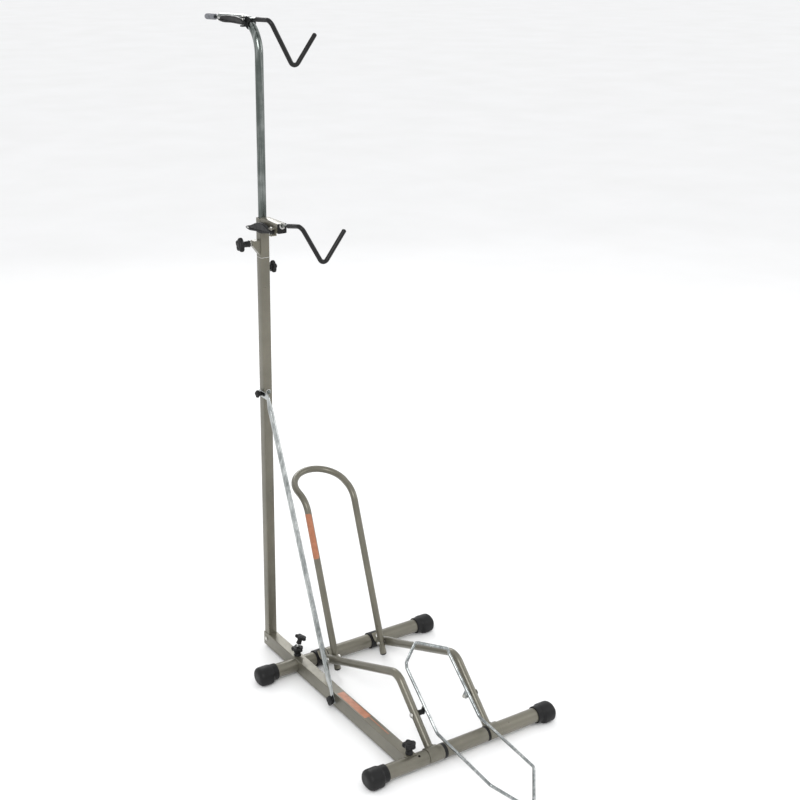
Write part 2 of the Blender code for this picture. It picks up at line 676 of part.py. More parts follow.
def build_cradle():
    """A closed wire that holds the wheel. It rocks on two bolts: the wheel pushes its rear down."""
    x = CRADLE_X
    nose = -(REACH_FRONT - CRADLE_WIRE) - 0.0066
    half = [(0, nose, 0.0013), (x, -0.195, 0.0475), (x, 0.017, 0.0665)]
    half += [(x, 0.152, 0.1815), (x - 0.0012, 0.157, 0.1950)]
    rear = (0, 0.2095, 0.2072)
    left = [(-px, y, z) for px, y, z in half[1:]][::-1]
    corners = [*half, rear, *left]
    radii = [0.010, 0.012, 0.020, 0.006, 0.006, 0.009, 0.006, 0.006, 0.020, 0.012]
    path = closed_path(corners, radii, 2)
    pivot = (0, *PIVOT)
    loop = rod(path, CRADLE_WIRE, 10, (1, 0, 0), closed=True)
    wire = new_object("cradle_wire", loop, "chrome_plate", pivot)
    lugs = []
    base, top = Vector(PIVOT), Vector((0.0735, 0.1125))
    angle = math.atan2(top.y - base.y, top.x - base.x)
    outline = []
    for centre, r, start in ((base, 0.0078, angle + math.pi / 2), (top, 0.0062, angle - math.pi / 2)):
        for i in range(7):
            a = start + math.pi * i / 6
            outline.append((centre.x + r * math.cos(a), centre.y + r * math.sin(a)))
    for side in (-1, 1):
        place = Matrix(((0, 0, 1, side * x), (1, 0, 0, 0), (0, 1, 0, 0), (0, 0, 0, 1)))
        lugs.append(outline_prism(outline, 0.003, place))
    boolean(wire, new_object("cradle_wire_lugs", join(*lugs), None, helper=True), "UNION")
    drill(wire, [((side * x, *PIVOT), (1, 0, 0), 0.0033, 0.012) for side in (-1, 1)])
    for label, side in (("left", -1), ("right", 1)):
        seat = side * (RAIL_X + RAIL_RADIUS + GAP)
        reach = abs(seat) - (x - 0.0015 - GAP)
        fastener("cradle_pivot_bolt_" + label, (seat, *PIVOT), (side, 0, 0), 0.003, reach,
                 0.0062, 0.0036, 0.0052, 0.0042)
        low, high = x + 0.0015 + GAP, RAIL_X - RAIL_RADIUS - GAP
        place = frame_along((side, 0, 0), (0, *PIVOT), (0, 1, 0))
        ring = turned([(0.0066, low), (0.0070, high)], 14, place, (0.0033, low, high))
        new_object("cradle_spacer_" + label, ring, "black_plastic")


# ---------------------------------------------------------------- telescopic pole and upper hook
TAIL = Vector((0, math.cos(TAIL_DROOP), -math.sin(TAIL_DROOP)))
POLE_KNEE = Vector((BEAM_X, MAST_Y, POLE_CORNER))


def on_tail(y):
    """The point of the tail's axis at this distance behind the front foot."""
    return POLE_KNEE + TAIL * ((y - MAST_Y) / TAIL.y)


def pole_path():
    return rounded_path([(BEAM_X, MAST_Y, POLE_FOOT), POLE_KNEE, on_tail(TAIL_END)], [POLE_BEND], 8)


def build_pole():
    path = pole_path()
    tube = pipe(path, POLE_RADIUS, POLE_RADIUS - POLE_WALL, 18)
    pole = new_object("chrome_pole", tube, "chrome_plate", (BEAM_X, MAST_Y, MAST_TOP))
    drill(pole, [(on_tail(0.737), TAIL, ROD_RADIUS + 0.0006, 0.050)])
    bore = POLE_RADIUS - POLE_WALL - GAP
    plug = [(POLE_RADIUS - 0.001, -0.006), (POLE_RADIUS, -0.004), (POLE_RADIUS, -GAP)]
    plug += [(bore, -GAP), (bore - 0.0004, 0.012)]
    foot = Matrix.Translation((BEAM_X, MAST_Y, POLE_FOOT))
    new_object("pole_foot_plug", turned(plug, 12, foot), "black_plastic")
    place = frame_along(TAIL, on_tail(TAIL_END))
    hole = ROD_RADIUS + GAP
    end = [(bore - 0.0004, -0.012), (bore, -0.004), (bore, GAP), (POLE_RADIUS, GAP)]
    end += [(POLE_RADIUS - 0.0006, 0.0036)]
    new_object("tail_end_plug", turned(end, 14, place, (hole, -0.012, 0.0036)), "black_plastic")


def cam_lever(name, pivot, outline, thickness, pin_hole):
    """A moulded quick-release handle: an outline in the YZ plane, given from its pivot, soft at its edges."""
    place = Matrix(((0, 0, 1, pivot[0]), (1, 0, 0, pivot[1]), (0, 1, 0, pivot[2]), (0, 0, 0, 1)))
    lever = new_object(name, soft_prism(outline, thickness, 0.0022, place), "black_plastic", pivot)
    drill(lever, [(pivot, (0, 0, 1), pin_hole, 0.04)], 10)
    return lever


def smooth_outline(points, steps=2):
    """A closed Catmull-Rom curve through points."""
    count = len(points)
    out = []
    for i in range(count):
        a, b, c, d = (Vector(points[(i + k) % count]) for k in (-1, 0, 1, 2))
        for j in range(steps):
            t = j / steps
            square, cube = 2 * a - 5 * b + 4 * c - d, 3 * b - a - 3 * c + d
            p = 0.5 * (2 * b + (c - a) * t + square * t * t + cube * t ** 3)
            out.append((p.x, p.y))
    return out


LEVER_THICKNESS = 0.0105
UPPER_CAM = (BEAM_X - 0.0227, 0.7350, 1.7185)
LOWER_CAM = (BEAM_X - 0.0230, 0.6110, 1.2248)
UPPER_LEVER = [
    (-0.0035, -0.0058), (-0.0062, -0.0015), (-0.0020, 0.0045), (0.0120, 0.0090), (0.0400, 0.0118),
    (0.0770, 0.0115), (0.1070, 0.0085), (0.1230, 0.0030), (0.1220, -0.0020), (0.0990, -0.0062),
    (0.0550, -0.0050), (0.0150, -0.0056),
]
LOWER_LEVER = [
    (-0.0040, -0.0042), (-0.0062, -0.0005), (-0.0030, 0.0036), (0.0120, 0.0062), (0.0330, 0.0125),
    (0.0540, 0.0138), (0.0740, 0.0092), (0.1020, -0.0015), (0.1245, -0.0080), (0.1250, -0.0130),
    (0.1070, -0.0160), (0.0740, -0.0125), (0.0550, -0.0138), (0.0290, -0.0092), (0.0100, -0.0055),
]


def build_upper_hook():
    path = [on_tail(y) for y in (REACH_REAR - 0.004, 0.955, 0.900)]
    bend = on_tail(UPPER_HOOK_Y)
    valley = Vector((-0.0904, UPPER_HOOK_Y - 0.001, 1.6105))
    tip = Vector((-0.0320, UPPER_HOOK_Y - 0.001, 1.6890))
    bent = rounded_path([path[-1], bend, valley, tip], [0.015, 0.012], 4)
    pivot = on_tail(0.730)
    new_object("upper_hook_rod", rod(path[:-1] + bent, ROD_RADIUS, 10), "chrome_plate", pivot)
    start = on_tail(0.7075)
    end = tip + (tip - valley).normalized() * 0.0006
    sleeve = rounded_path([start, bend, valley, end], [0.015, 0.012], 4)
    dip = dipped_sleeve(sleeve, VINYL_RADIUS, VINYL_BORE, 10, 0.0042)
    new_object("upper_hook_sleeve", dip, "black_vinyl", pivot)
    hole = ROD_RADIUS + GAP
    place = frame_along(TAIL, on_tail(0.925))
    collar = [(0.0068, 0), (0.0076, 0.0016), (0.0076, 0.0194), (0.0068, 0.021)]
    stop = turned(collar, 12, place, (hole, 0, 0.021))
    new_object("upper_stop_collar", stop, "black_plastic", on_tail(0.925))
    place = frame_along(TAIL, on_tail(0.9500))
    cap = [(hole, 0.0213), (hole, 0), (0.0070, 0), (0.0076, 0.0016)]
    cap += [(0.0076, 0.0190), (0.0066, 0.0228), (0.0035, 0.0250)]
    new_object("upper_rod_end_cap", turned(cap, 12, place), "black_plastic", on_tail(0.9500))


def build_upper_clamp():
    """A plastic band round the tail, with ears for the upper lever's pin."""
    x, y, z = UPPER_CAM
    turn = math.radians(63.3)
    reach = POLE_BEND * math.tan((math.pi / 2 + TAIL_DROOP) / 2)
    centre = POLE_KNEE + Vector((0, POLE_BEND * (1 - math.cos(turn)), POLE_BEND * math.sin(turn) - reach))
    place = frame_along((0, math.sin(turn), math.cos(turn)), centre)
    r = POLE_RADIUS + GAP
    outer = [(r + 0.0022, -0.0085), (r + 0.0030, -0.0075), (r + 0.0030, 0.0075), (r + 0.0022, 0.0085)]
    band = turned(outer, 20, place, (r - 0.002, -0.0085, 0.0085))
    body = new_object("upper_cam_clamp", band, "black_plastic")
    ears = []
    for low, high in ((z - 0.0106, z - 0.0072), (z + 0.0102, z + 0.0136)):
        block = bmesh.new()
        bmesh.ops.create_cube(block, size=1)
        bmesh.ops.scale(block, verts=block.verts, vec=(0.0180, 0.0110, high - low))
        bmesh.ops.translate(block, verts=block.verts, vec=(x + 0.0040, y, (low + high) / 2))
        ears.append(block)
    plate = bmesh.new()
    bmesh.ops.create_cube(plate, size=1)
    bmesh.ops.scale(plate, verts=plate.verts, vec=(0.0032, 0.0112, 0.0246))
    bmesh.ops.translate(plate, verts=plate.verts, vec=(BEAM_X - 0.0125, y, z + 0.0015))
    boolean(body, new_object("upper_cam_clamp_plate", plate, None, helper=True), "UNION")
    boolean(body, new_object("upper_cam_clamp_ears", join(*ears), None, helper=True), "UNION")
    bore = rod(pole_path(), r, 18)
    boolean(body, new_object("upper_cam_clamp_bore", bore, None, helper=True), "DIFFERENCE")
    drill(body, [
        ((x, y, z), (0, 0, 1), 0.0023, 0.06),
        (on_tail(0.742), TAIL, ROD_RADIUS + 0.0006, 0.06),
    ], 10)
    cam_lever("upper_cam_lever", UPPER_CAM, smooth_outline(UPPER_LEVER), LEVER_THICKNESS, 0.0023)
    profile = [(0.002, -0.0112), (0.002, 0.0142), (0.0034, 0.0142), (0.0030, 0.0158)]
    pin = turned(profile, 10, Matrix.Translation(UPPER_CAM))
    new_object("upper_cam_pin", pin, "zinc_fastener", UPPER_CAM)


# ---------------------------------------------------------------- carriage and lower hook
RISE = Vector((0, -math.cos(LOWER_RISE), math.sin(LOWER_RISE)))
LOWER_EXIT = Vector((BEAM_X, STUB_FRONT, 1.2395))


def on_lower_rod(y):
    return LOWER_EXIT + RISE * ((STUB_FRONT - y) / -RISE.y)


def build_carriage():
    """A square sleeve on the pole, with a gusset for its clamp screw and a stub for the lower hook."""
    place = Matrix.Translation((BEAM_X, MAST_Y, 0))
    sleeve = square_tube(MAST_HALF, MAST_WALL, CARRIAGE_BOTTOM, CARRIAGE_TOP, place)
    origin = (BEAM_X, MAST_Y, CARRIAGE_BOTTOM)
    carriage = new_object("hook_carriage", sleeve, "olive_paint", origin, smooth=30)
    wall = MAST_HALF - MAST_WALL
    front = MAST_Y - MAST_HALF + 0.0007
    along = frame_along((0, 1, 0), (BEAM_X, 0, STUB_HEIGHT), (1, 0, 0))
    stub = square_tube(MAST_HALF, STUB_WALL, STUB_FRONT, front, along)
    boolean(carriage, new_object("hook_carriage_stub", stub, None, helper=True), "UNION")
    left = -MAST_HALF + 0.0007
    gusset = [(left, 1.1465), (-0.0330, 1.1735), (-0.0330, 1.1830), (-0.0300, 1.1860), (left, 1.1860)]
    flat = Matrix(((1, 0, 0, BEAM_X), (0, 0, -1, MAST_Y), (0, 1, 0, 0), (0, 0, 0, 1)))
    wing = outline_prism(gusset, 0.017, flat)
    boolean(carriage, new_object("hook_carriage_gusset", wing, None, helper=True), "UNION")
    x, y, z = LOWER_CAM
    ears = []
    for low, high in ((z - 0.0100, z - 0.0064), (z + 0.0064, z + 0.0100)):
        block = bmesh.new()
        bmesh.ops.create_cube(block, size=1)
        bmesh.ops.scale(block, verts=block.verts, vec=(0.0165, 0.0110, high - low))
        bmesh.ops.translate(block, verts=block.verts, vec=(x + 0.00325 + 0.0001, y, (low + high) / 2))
        ears.append(block)
    plate = bmesh.new()
    bmesh.ops.create_cube(plate, size=1)
    bmesh.ops.scale(plate, verts=plate.verts, vec=(0.0024, 0.0112, 0.0202))
    bmesh.ops.translate(plate, verts=plate.verts, vec=(BEAM_X - 0.0131, y, z))
    boolean(carriage, new_object("hook_carriage_plate", plate, None, helper=True), "UNION")
    boolean(carriage, new_object("hook_carriage_ears", join(*ears), None, helper=True), "UNION")
    drill(carriage, [
        ((BEAM_X - 0.022, MAST_Y, 1.1790), (1, 0, 0), STUD_RADIUS + GAP, 0.0224),
        ((x, y, z), (0, 0, 1), 0.0023, 0.05),
    ], 10)
    cam_lever("lower_cam_lever", LOWER_CAM, smooth_outline(LOWER_LEVER), LEVER_THICKNESS, 0.0023)
    profile = [(0.002, -0.0104), (0.002, 0.0103), (0.0034, 0.0103), (0.0030, 0.0119)]
    pin = turned(profile, 10, Matrix.Translation(LOWER_CAM))
    new_object("lower_cam_pin", pin, "zinc_fastener", LOWER_CAM)

    def ring(half, bend, y):
        return [along @ Vector((px, pz, y)) for px, pz in rounded_square(half, bend)]

    inner = MAST_HALF - STUB_WALL - GAP
    rings = [
        ring(MAST_HALF - 0.0010, 0.002, STUB_FRONT - 0.0040),
        ring(MAST_HALF, 0.002, STUB_FRONT - 0.0030),
        ring(MAST_HALF, 0.002, STUB_FRONT - GAP),
        ring(inner, 0.0008, STUB_FRONT - GAP),
        ring(inner, 0.0008, STUB_FRONT + 0.012),
    ]
    plug = new_object("stub_end_plug", loft(rings), "black_plastic")
    drill(plug, [(on_lower_rod(0.604), RISE, ROD_RADIUS + GAP, 0.030)])


def build_lower_hook():
    bend = on_lower_rod(LOWER_HOOK_Y)
    valley = Vector((-0.0920, LOWER_HOOK_Y, 1.1505))
    tip = Vector((-0.0320, LOWER_HOOK_Y, 1.2305))
    back = on_lower_rod(0.650)
    pivot = on_lower_rod(STUB_FRONT)
    bar = rod(rounded_path([back, bend, valley, tip], [0.014, 0.012], 4), ROD_RADIUS, 10)
    new_object("lower_hook_rod", bar, "chrome_plate", pivot)
    start = on_lower_rod(0.568)
    end = tip + (tip - valley).normalized() * 0.0006
    sleeve = rounded_path([start, bend, valley, end], [0.014, 0.012], 4)
    dip = dipped_sleeve(sleeve, VINYL_RADIUS, VINYL_BORE, 10, 0.0042)
    new_object("lower_hook_sleeve", dip, "black_vinyl", pivot)
    place = frame_along(-RISE, on_lower_rod(0.636))
    collar = turned([(0.0054, 0), (0.0054, 0.010)], 14, place, (ROD_RADIUS + GAP, 0, 0.010))
    new_object("lower_stop_collar", collar, "zinc_fastener", on_lower_rod(0.636))


# ---------------------------------------------------------------- hand knobs
def build_knobs():
    base = BEAM_TOP + GAP
    star_knob("front_beam_knob", (BEAM_X, 0.010, base), (0, 0, 1), 0.018, 0.012, 0.0095, 0.0185, stud=0.009)
    top = BEAM_TOP + GAP
    y = REAR_FOOT + 0.0106
    star_knob("rear_beam_knob", (BEAM_X, y, top), (0, 0, 1), 0.017, 0.011, 0.0100, 0.0140, stud=0.009)
    lean = Vector((math.sin(math.radians(21)), -0.06, math.cos(math.radians(21)))).normalized()
    seat = Vector((BEAM_X, y, top + 0.0140 + 0.0110 + 0.0006))
    foot = seat + lean * 0.0100
    star_knob("toggle_knob", foot, lean, 0.0168, 0.0085, 0.0075, 0.0150, bore=(0.0033, 0.0120))
    place = frame_along(lean, seat + lean * 0.0004)
    screw = turned([(0.0028, 0), (0.0030, 0.0010), (0.0030, 0.0215)], 10, place)
    new_object("toggle_screw", screw, "zinc_fastener", seat)

    hub = BEAM_X - 0.0390
    star_knob("carriage_knob", (hub, MAST_Y, 1.1790), (-1, 0, 0), 0.0190, 0.0115, 0.0088, 0.0200,
              bore=(0.0043, 0.0160), side=(0, 0, 1))
    end = BEAM_X - POLE_RADIUS - GAP
    place = frame_along((1, 0, 0), (hub, MAST_Y, 1.1790))
    screw = turned([(STUD_RADIUS, -0.0155), (STUD_RADIUS, end - hub)], 12, place)
    new_object("carriage_screw", screw, "zinc_fastener", (hub, MAST_Y, 1.1790))

    face = BEAM_X + MAST_HALF + GAP
    star_knob("mast_top_knob", (face, MAST_Y, 1.111), (1, 0, 0), 0.0165, 0.0110, 0.0085, 0.0095,
              stud=face - (BEAM_X + POLE_RADIUS + GAP), side=(0, 0, 1))


clear_scene()
stand = bpy.data.objects.new("stand", None)
bpy.context.scene.collection.objects.link(stand)
stand.location = (0, FRONT_FOOT_Y, 0)

build_feet()
build_beam()
build_mast()
build_brace()
for rail_label, rail_side in (("left", -1), ("right", 1)):
    build_rail(rail_label, rail_side)
build_hoop()
build_cradle()
build_pole()
build_upper_hook()
build_upper_clamp()
build_carriage()
build_lower_hook()
build_knobs()
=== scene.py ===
"""Looks of a two-position bicycle stand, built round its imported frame. Metres, +Z up.

Positions are taken along the stand from the axis of the front foot and moved to the frame by at()."""

import json
import math

import bmesh
import bpy
from mathutils import Matrix, Vector

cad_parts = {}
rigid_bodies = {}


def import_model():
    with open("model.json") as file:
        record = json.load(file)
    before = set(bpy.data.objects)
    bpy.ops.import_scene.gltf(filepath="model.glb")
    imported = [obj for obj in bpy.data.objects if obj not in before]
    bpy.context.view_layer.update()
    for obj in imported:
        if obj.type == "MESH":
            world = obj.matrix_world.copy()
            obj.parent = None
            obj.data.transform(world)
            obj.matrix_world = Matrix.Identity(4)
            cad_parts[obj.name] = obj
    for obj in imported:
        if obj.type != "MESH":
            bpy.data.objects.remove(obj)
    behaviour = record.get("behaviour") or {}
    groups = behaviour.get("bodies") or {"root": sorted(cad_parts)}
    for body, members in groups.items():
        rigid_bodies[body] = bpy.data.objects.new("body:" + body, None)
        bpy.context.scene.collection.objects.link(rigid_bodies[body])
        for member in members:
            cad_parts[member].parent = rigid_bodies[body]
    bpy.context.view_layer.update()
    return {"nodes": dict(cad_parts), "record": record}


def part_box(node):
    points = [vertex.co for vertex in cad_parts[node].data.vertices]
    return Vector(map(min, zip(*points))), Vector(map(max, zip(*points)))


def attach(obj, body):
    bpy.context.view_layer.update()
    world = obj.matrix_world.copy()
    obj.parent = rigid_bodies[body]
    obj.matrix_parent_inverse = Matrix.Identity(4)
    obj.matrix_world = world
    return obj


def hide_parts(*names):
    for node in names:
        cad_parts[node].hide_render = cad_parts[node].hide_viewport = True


for startup_object in list(bpy.data.objects):
    bpy.data.objects.remove(startup_object, do_unlink=True)

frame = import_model()


def middle(node):
    low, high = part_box(node)
    return (low + high) / 2


FRONT_Y = middle("front_foot_tube_middle").y
MAST = middle("mast_tube")
BEAM_X = MAST.x
MAST_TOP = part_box("mast_tube")[1].z
MAST_HALF = (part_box("mast_tube")[1].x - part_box("mast_tube")[0].x) / 2
BEAM_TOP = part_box("base_beam")[1].z
REAR_FOOT = middle("rear_foot_tube").y - FRONT_Y
MAST_Y = MAST.y - FRONT_Y
FOOT_HEIGHT = 0.025
FOOT_RADIUS = 0.019
FOOT_WALL, TUBE_EDGE = 0.0015, 0.0002
GAP = 0.0003
LONGEST_RUN = 0.03
SIDES = (("left", -1), ("right", 1))
UP, LEFT, RIGHT, FORWARD = (0, 0, 1), (-1, 0, 0), (1, 0, 0), (0, -1, 0)


def at(x, y, z):
    """A point given along the stand from the front foot, in the frame."""
    return Vector((x, y + FRONT_Y, z))


# ---- materials
class Look:
    """A material with object coordinates, and short ways to add noise, ramps and bumps to it."""

    def __init__(self, name, metallic=0.0, specular=0.5, coat=0.0, coat_roughness=0.1):
        self.material = bpy.data.materials.new(name)
        self.material.use_nodes = True
        self.tree = self.material.node_tree
        self.shader = self.tree.nodes["Principled BSDF"]
        settings = [("Metallic", metallic), ("Specular IOR Level", specular), ("Coat Weight", coat)]
        for socket, value in [*settings, ("Coat Roughness", coat_roughness)]:
            self.shader.inputs[socket].default_value = value
        self.coordinates = self.tree.nodes.new("ShaderNodeTexCoord").outputs["Object"]
        self.bump = None

    def add(self, kind, links=(), sockets=(), **values):
        node = self.tree.nodes.new(kind)
        for key, value in values.items():
            setattr(node, key, value)
        for socket, value in sockets:
            node.inputs[socket].default_value = value
        for socket, source in links:
            self.tree.links.new(source, node.inputs[socket])
        return node

    def stretched(self, scale):
        links = [("Vector", self.coordinates)]
        return self.add("ShaderNodeMapping", links, [("Scale", scale)]).outputs["Vector"]

    def noise(self, scale, detail=3.0, rough=0.55, vector=None):
        links = [("Vector", vector or self.coordinates)]
        sockets = [("Scale", scale), ("Detail", detail), ("Roughness", rough)]
        return self.add("ShaderNodeTexNoise", links, sockets).outputs["Fac"]

    def cells(self, scale):
        return self.add("ShaderNodeTexVoronoi", [("Vector", self.coordinates)], [("Scale", scale)])

    def ramp(self, source, stops):
        node = self.add("ShaderNodeValToRGB", [("Fac", source)])
        ramp = node.color_ramp
        while len(ramp.elements) < len(stops):
            ramp.elements.new(0.5)
        for element, (place, color) in zip(ramp.elements, stops):
            element.position = place
            element.color = (*color, 1.0)
        return node.outputs["Color"]

    def spread(self, source, low, high, start=0.3, end=0.7):
        sockets = [("From Min", start), ("From Max", end), ("To Min", low), ("To Max", high)]
        return self.add("ShaderNodeMapRange", [("Value", source)], sockets).outputs["Result"]

    def mix(self, factor, first, second, blend="MIX"):
        node = self.add("ShaderNodeMix", data_type="RGBA", blend_type=blend)
        for index, value in ((0, factor), (6, first), (7, second)):
            if isinstance(value, (int, float)):
                node.inputs[index].default_value = value
            elif isinstance(value, tuple):
                node.inputs[index].default_value = (*value, 1.0)
            else:
                self.tree.links.new(value, node.inputs[index])
        return node.outputs[2]

    def height(self, source, strength, depth):
        links = [("Height", source)]
        if self.bump:
            links.append(("Normal", self.bump))
        sockets = [("Strength", strength), ("Distance", depth)]
        self.bump = self.add("ShaderNodeBump", links, sockets).outputs["Normal"]

    def done(self, color, roughness):
        self.tree.links.new(color, self.shader.inputs["Base Color"])
        self.tree.links.new(roughness, self.shader.inputs["Roughness"])
        if self.bump:
            self.tree.links.new(self.bump, self.shader.inputs["Normal"])
        return self.material


def low_down(look, top, soft):
    """1 near the floor, falling to 0 at top and above: where dust gathers."""
    parts = look.add("ShaderNodeSeparateXYZ", [("Vector", look.coordinates)])
    return look.spread(parts.outputs["Z"], 1.0, 0.0, top - soft, top)


def olive_paint():
    look = Look("olive_paint", metallic=0.50, coat=0.22, coat_roughness=0.16)
    tone = look.ramp(look.noise(7, 4, 0.6), [(0.35, (0.126, 0.119, 0.092)), (0.65, (0.166, 0.156, 0.121))])
    flake = look.cells(1700).outputs["Color"]
    sparkle = look.mix(0.10, tone, flake, "OVERLAY")
    scuff = look.spread(look.noise(55, 6, 0.7, look.stretched((1, 1, 0.35))), 0.0, 0.55, 0.62, 0.78)
    worn = look.mix(scuff, sparkle, (0.225, 0.213, 0.172))
    links = [(0, low_down(look, 0.05, 0.04)), (1, look.noise(30, 4))]
    dust = look.add("ShaderNodeMath", links, operation="MULTIPLY").outputs[0]
    dusty = look.mix(dust, worn, (0.215, 0.205, 0.170))
    rough = look.spread(look.noise(38, 5, 0.65), 0.27, 0.43)
    look.height(look.noise(420, 2, 0.5), 0.10, 0.0004)
    look.height(flake, 0.03, 0.0002)
    return look.done(dusty, rough)


def chrome(name, dark, middle, light, reflection_streak):
    """Plating whose colour is painted reflection, dark and clouded and streaked along its length; long
    drawing marks also vary its gloss and relief, with a little unevenness.
    """
    look = Look(name, metallic=1.0, specular=0.5)
    reflection_cloud = look.noise(14, 5, 0.6)
    drawn_lines_and_reflections = look.noise(150, 4, 0.6, look.stretched((1.0, 1.0, 0.035)))
    # Painted reflection: the colour runs from dark to light in clouds and long streaks.
    tone = look.ramp(look.mix(reflection_streak, reflection_cloud, drawn_lines_and_reflections), [(0.34, dark), (0.50, middle), (0.66, light)])
    rough = look.spread(drawn_lines_and_reflections, 0.09, 0.27)
    look.height(look.noise(80, 2, 0.5), 0.06, 0.0006)
    look.height(drawn_lines_and_reflections, 0.05, 0.0003)
    return look.done(tone, rough)


def black_plastic():
    look = Look("black_plastic", specular=0.22)
    tone = look.ramp(look.noise(24, 4), [(0.35, (0.0065, 0.0065, 0.0068)), (0.7, (0.0125, 0.0125, 0.0125))])
    dust = look.mix(look.spread(look.noise(140, 5, 0.7), 0.0, 0.30, 0.6, 0.85), tone, (0.034, 0.033, 0.030))
    rough = look.spread(look.noise(60, 4), 0.36, 0.55)
    look.height(look.cells(1500).outputs["Distance"], 0.20, 0.0002)
    look.height(look.noise(260, 3), 0.10, 0.0003)
    return look.done(dust, rough)


def orange_film():
    look = Look("orange_film", specular=0.45, coat=0.25, coat_roughness=0.22)
    tone = look.ramp(look.noise(80, 5, 0.65), [(0.3, (0.30, 0.105, 0.045)), (0.7, (0.42, 0.165, 0.085))])
    faded = look.mix(look.spread(look.noise(420, 5, 0.75), 0.0, 0.6, 0.60, 0.74), tone, (0.46, 0.27, 0.18))
    rough = look.spread(look.noise(200, 4), 0.30, 0.46)
    look.height(look.noise(500, 3), 0.08, 0.0002)
    return look.done(faded, rough)


def mottled(name, tone, stops, rough, span, bumps, **shader):
    """A mottled colour, uneven gloss and fine relief, each from a noise of its own."""
    look = Look(name, **shader)
    color = look.ramp(look.noise(*tone), stops)
    gloss = look.spread(look.noise(*rough), *span)
    for noise, strength, depth in bumps:
        look.height(look.noise(*noise), strength, depth)
    return look.done(color, gloss)


MATERIALS = {
    "olive_paint": olive_paint(),
    # The three platings differ in how light their painted reflection is: the pole's is darkest, the brace's
    # lightest.
    "chrome_plate": chrome(
        "chrome_plate", (0.060, 0.072, 0.066), (0.150, 0.168, 0.158), (0.42, 0.44, 0.43), 0.6
    ),
    "chrome_brace": chrome("chrome_brace", (0.20, 0.215, 0.21), (0.38, 0.40, 0.395), (0.60, 0.62, 0.61), 0.5),
    "chrome_wire": chrome("chrome_wire", (0.11, 0.12, 0.12), (0.30, 0.32, 0.32), (0.58, 0.60, 0.59), 0.4),
    "grey_plastic": mottled(
        "grey_plastic", (40, 4), [(0.35, (0.125, 0.130, 0.145)), (0.7, (0.190, 0.195, 0.212))],
        (90, 4), (0.34, 0.50), [((400, 3), 0.10, 0.0003)], specular=0.35,
    ),
    "black_plastic": black_plastic(),
    "black_vinyl": mottled(
        "black_vinyl", (20, 3), [(0.3, (0.005, 0.005, 0.005)), (0.7, (0.010, 0.010, 0.010))],
        (45, 4), (0.28, 0.44), [((110, 2, 0.4), 0.22, 0.0005), ((900, 2, 0.5), 0.06, 0.0002)],
        specular=0.22, coat=0.06, coat_roughness=0.28,
    ),
    "zinc_fastener": mottled(
        "zinc_fastener", (120, 4, 0.6),
        [(0.3, (0.44, 0.45, 0.46)), (0.5, (0.58, 0.57, 0.54)), (0.75, (0.66, 0.65, 0.60))],
        (300, 4), (0.22, 0.42), [((700, 3), 0.12, 0.0002)], metallic=1.0,
    ),
    "orange_film": orange_film(),
    # A grey sheet on the levers' outer faces: a painted highlight on black plastic.
    "painted_highlight": mottled(
        "painted_highlight", (150, 4), [(0.3, (0.34, 0.34, 0.33)), (0.7, (0.46, 0.46, 0.45))],
        (300, 4), (0.38, 0.52), [((900, 3), 0.08, 0.0002)], specular=0.45,
    ),
    "weld_metal": mottled(
        "weld_metal", (160, 5), [(0.3, (0.122, 0.115, 0.088)), (0.7, (0.172, 0.161, 0.125))],
        (220, 4), (0.32, 0.50), [((300, 3), 0.35, 0.0006)], metallic=0.42, coat=0.2, coat_roughness=0.2,
    ),
}


# ---- mesh building blocks
def new_object(name, data):
    obj = bpy.data.objects.new(name, data)
    bpy.context.scene.collection.objects.link(obj)
    return obj


def new_mesh(name, made):
    mesh = bpy.data.meshes.new(name)
    made.to_mesh(mesh)
    made.free()
    return mesh


def piece(name, made, look, body, replaces=(), slot="", smooth=38):
    """A finished mesh on its body, in one look. The slot argument is not used."""
    slot = look if slot == "" else slot
    bmesh.ops.recalc_face_normals(made, faces=made.faces)
    mesh = new_mesh(name, made)
    mesh.shade_smooth()
    mesh.set_sharp_from_angle(angle=math.radians(smooth))
    mesh.materials.append(MATERIALS[look])
    obj = new_object(name, mesh)
    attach(obj, body)
    if replaces:
        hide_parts(*replaces)
    return obj


def loft(rings, loop=False):
    """Faces from ring to ring, with two end faces or, for a loop, back to the first ring."""
    made = bmesh.new()
    rows = [[made.verts.new(point) for point in ring] for ring in rings]
    count = len(rows[0])
    pairs = list(zip(rows, rows[1:])) + ([(rows[-1], rows[0])] if loop else [])
    for low, high in pairs:
        for i in range(count):
            j = (i + 1) % count
            made.faces.new((low[i], low[j], high[j], high[i]))
    if not loop:
        made.faces.new(rows[0][::-1])
        made.faces.new(rows[-1])
    return made


def frame_along(axis, origin, side=RIGHT):
    """A placement whose z runs along the axis and whose x lies as near to side as it can."""
    z = Vector(axis).normalized()
    x = Vector(side) - z * z.dot(Vector(side))
    if x.length < 1e-6:
        x = Vector((0, 1, 0)) - z * z.y
    x.normalize()
    return Matrix.Translation(origin) @ Matrix((x, z.cross(x), z)).transposed().to_4x4()


def turned(profile, place, sides=40, loop=False):
    """A turned piece from (radius, height) pairs; a loop is a ring that is open in the middle."""
    angles = [2 * math.pi * i / sides for i in range(sides)]
    rings = [[place @ Vector((r * math.cos(a), r * math.sin(a), h)) for a in angles] for r, h in profile]
    return loft(rings, loop)


def rounded_path(corners, radii, steps):
    """The corners joined by straight runs, with each inner corner cut to an arc of its radius."""
    points = [Vector(corners[0])]
    for before, corner, after, radius in zip(corners, corners[1:], corners[2:], radii):
        before, corner, after = Vector(before), Vector(corner), Vector(after)
        inward, outward = (before - corner).normalized(), (after - corner).normalized()
        half = inward.angle(outward) / 2
        centre = corner + (inward + outward).normalized() * (radius / math.sin(half))
        start = corner + inward * (radius / math.tan(half)) - centre
        axis = (-inward).cross(outward).normalized()
        for i in range(steps + 1):
            points.append(centre + Matrix.Rotation((math.pi - 2 * half) * i / steps, 3, axis) @ start)
    points.append(Vector(corners[-1]))
    return points


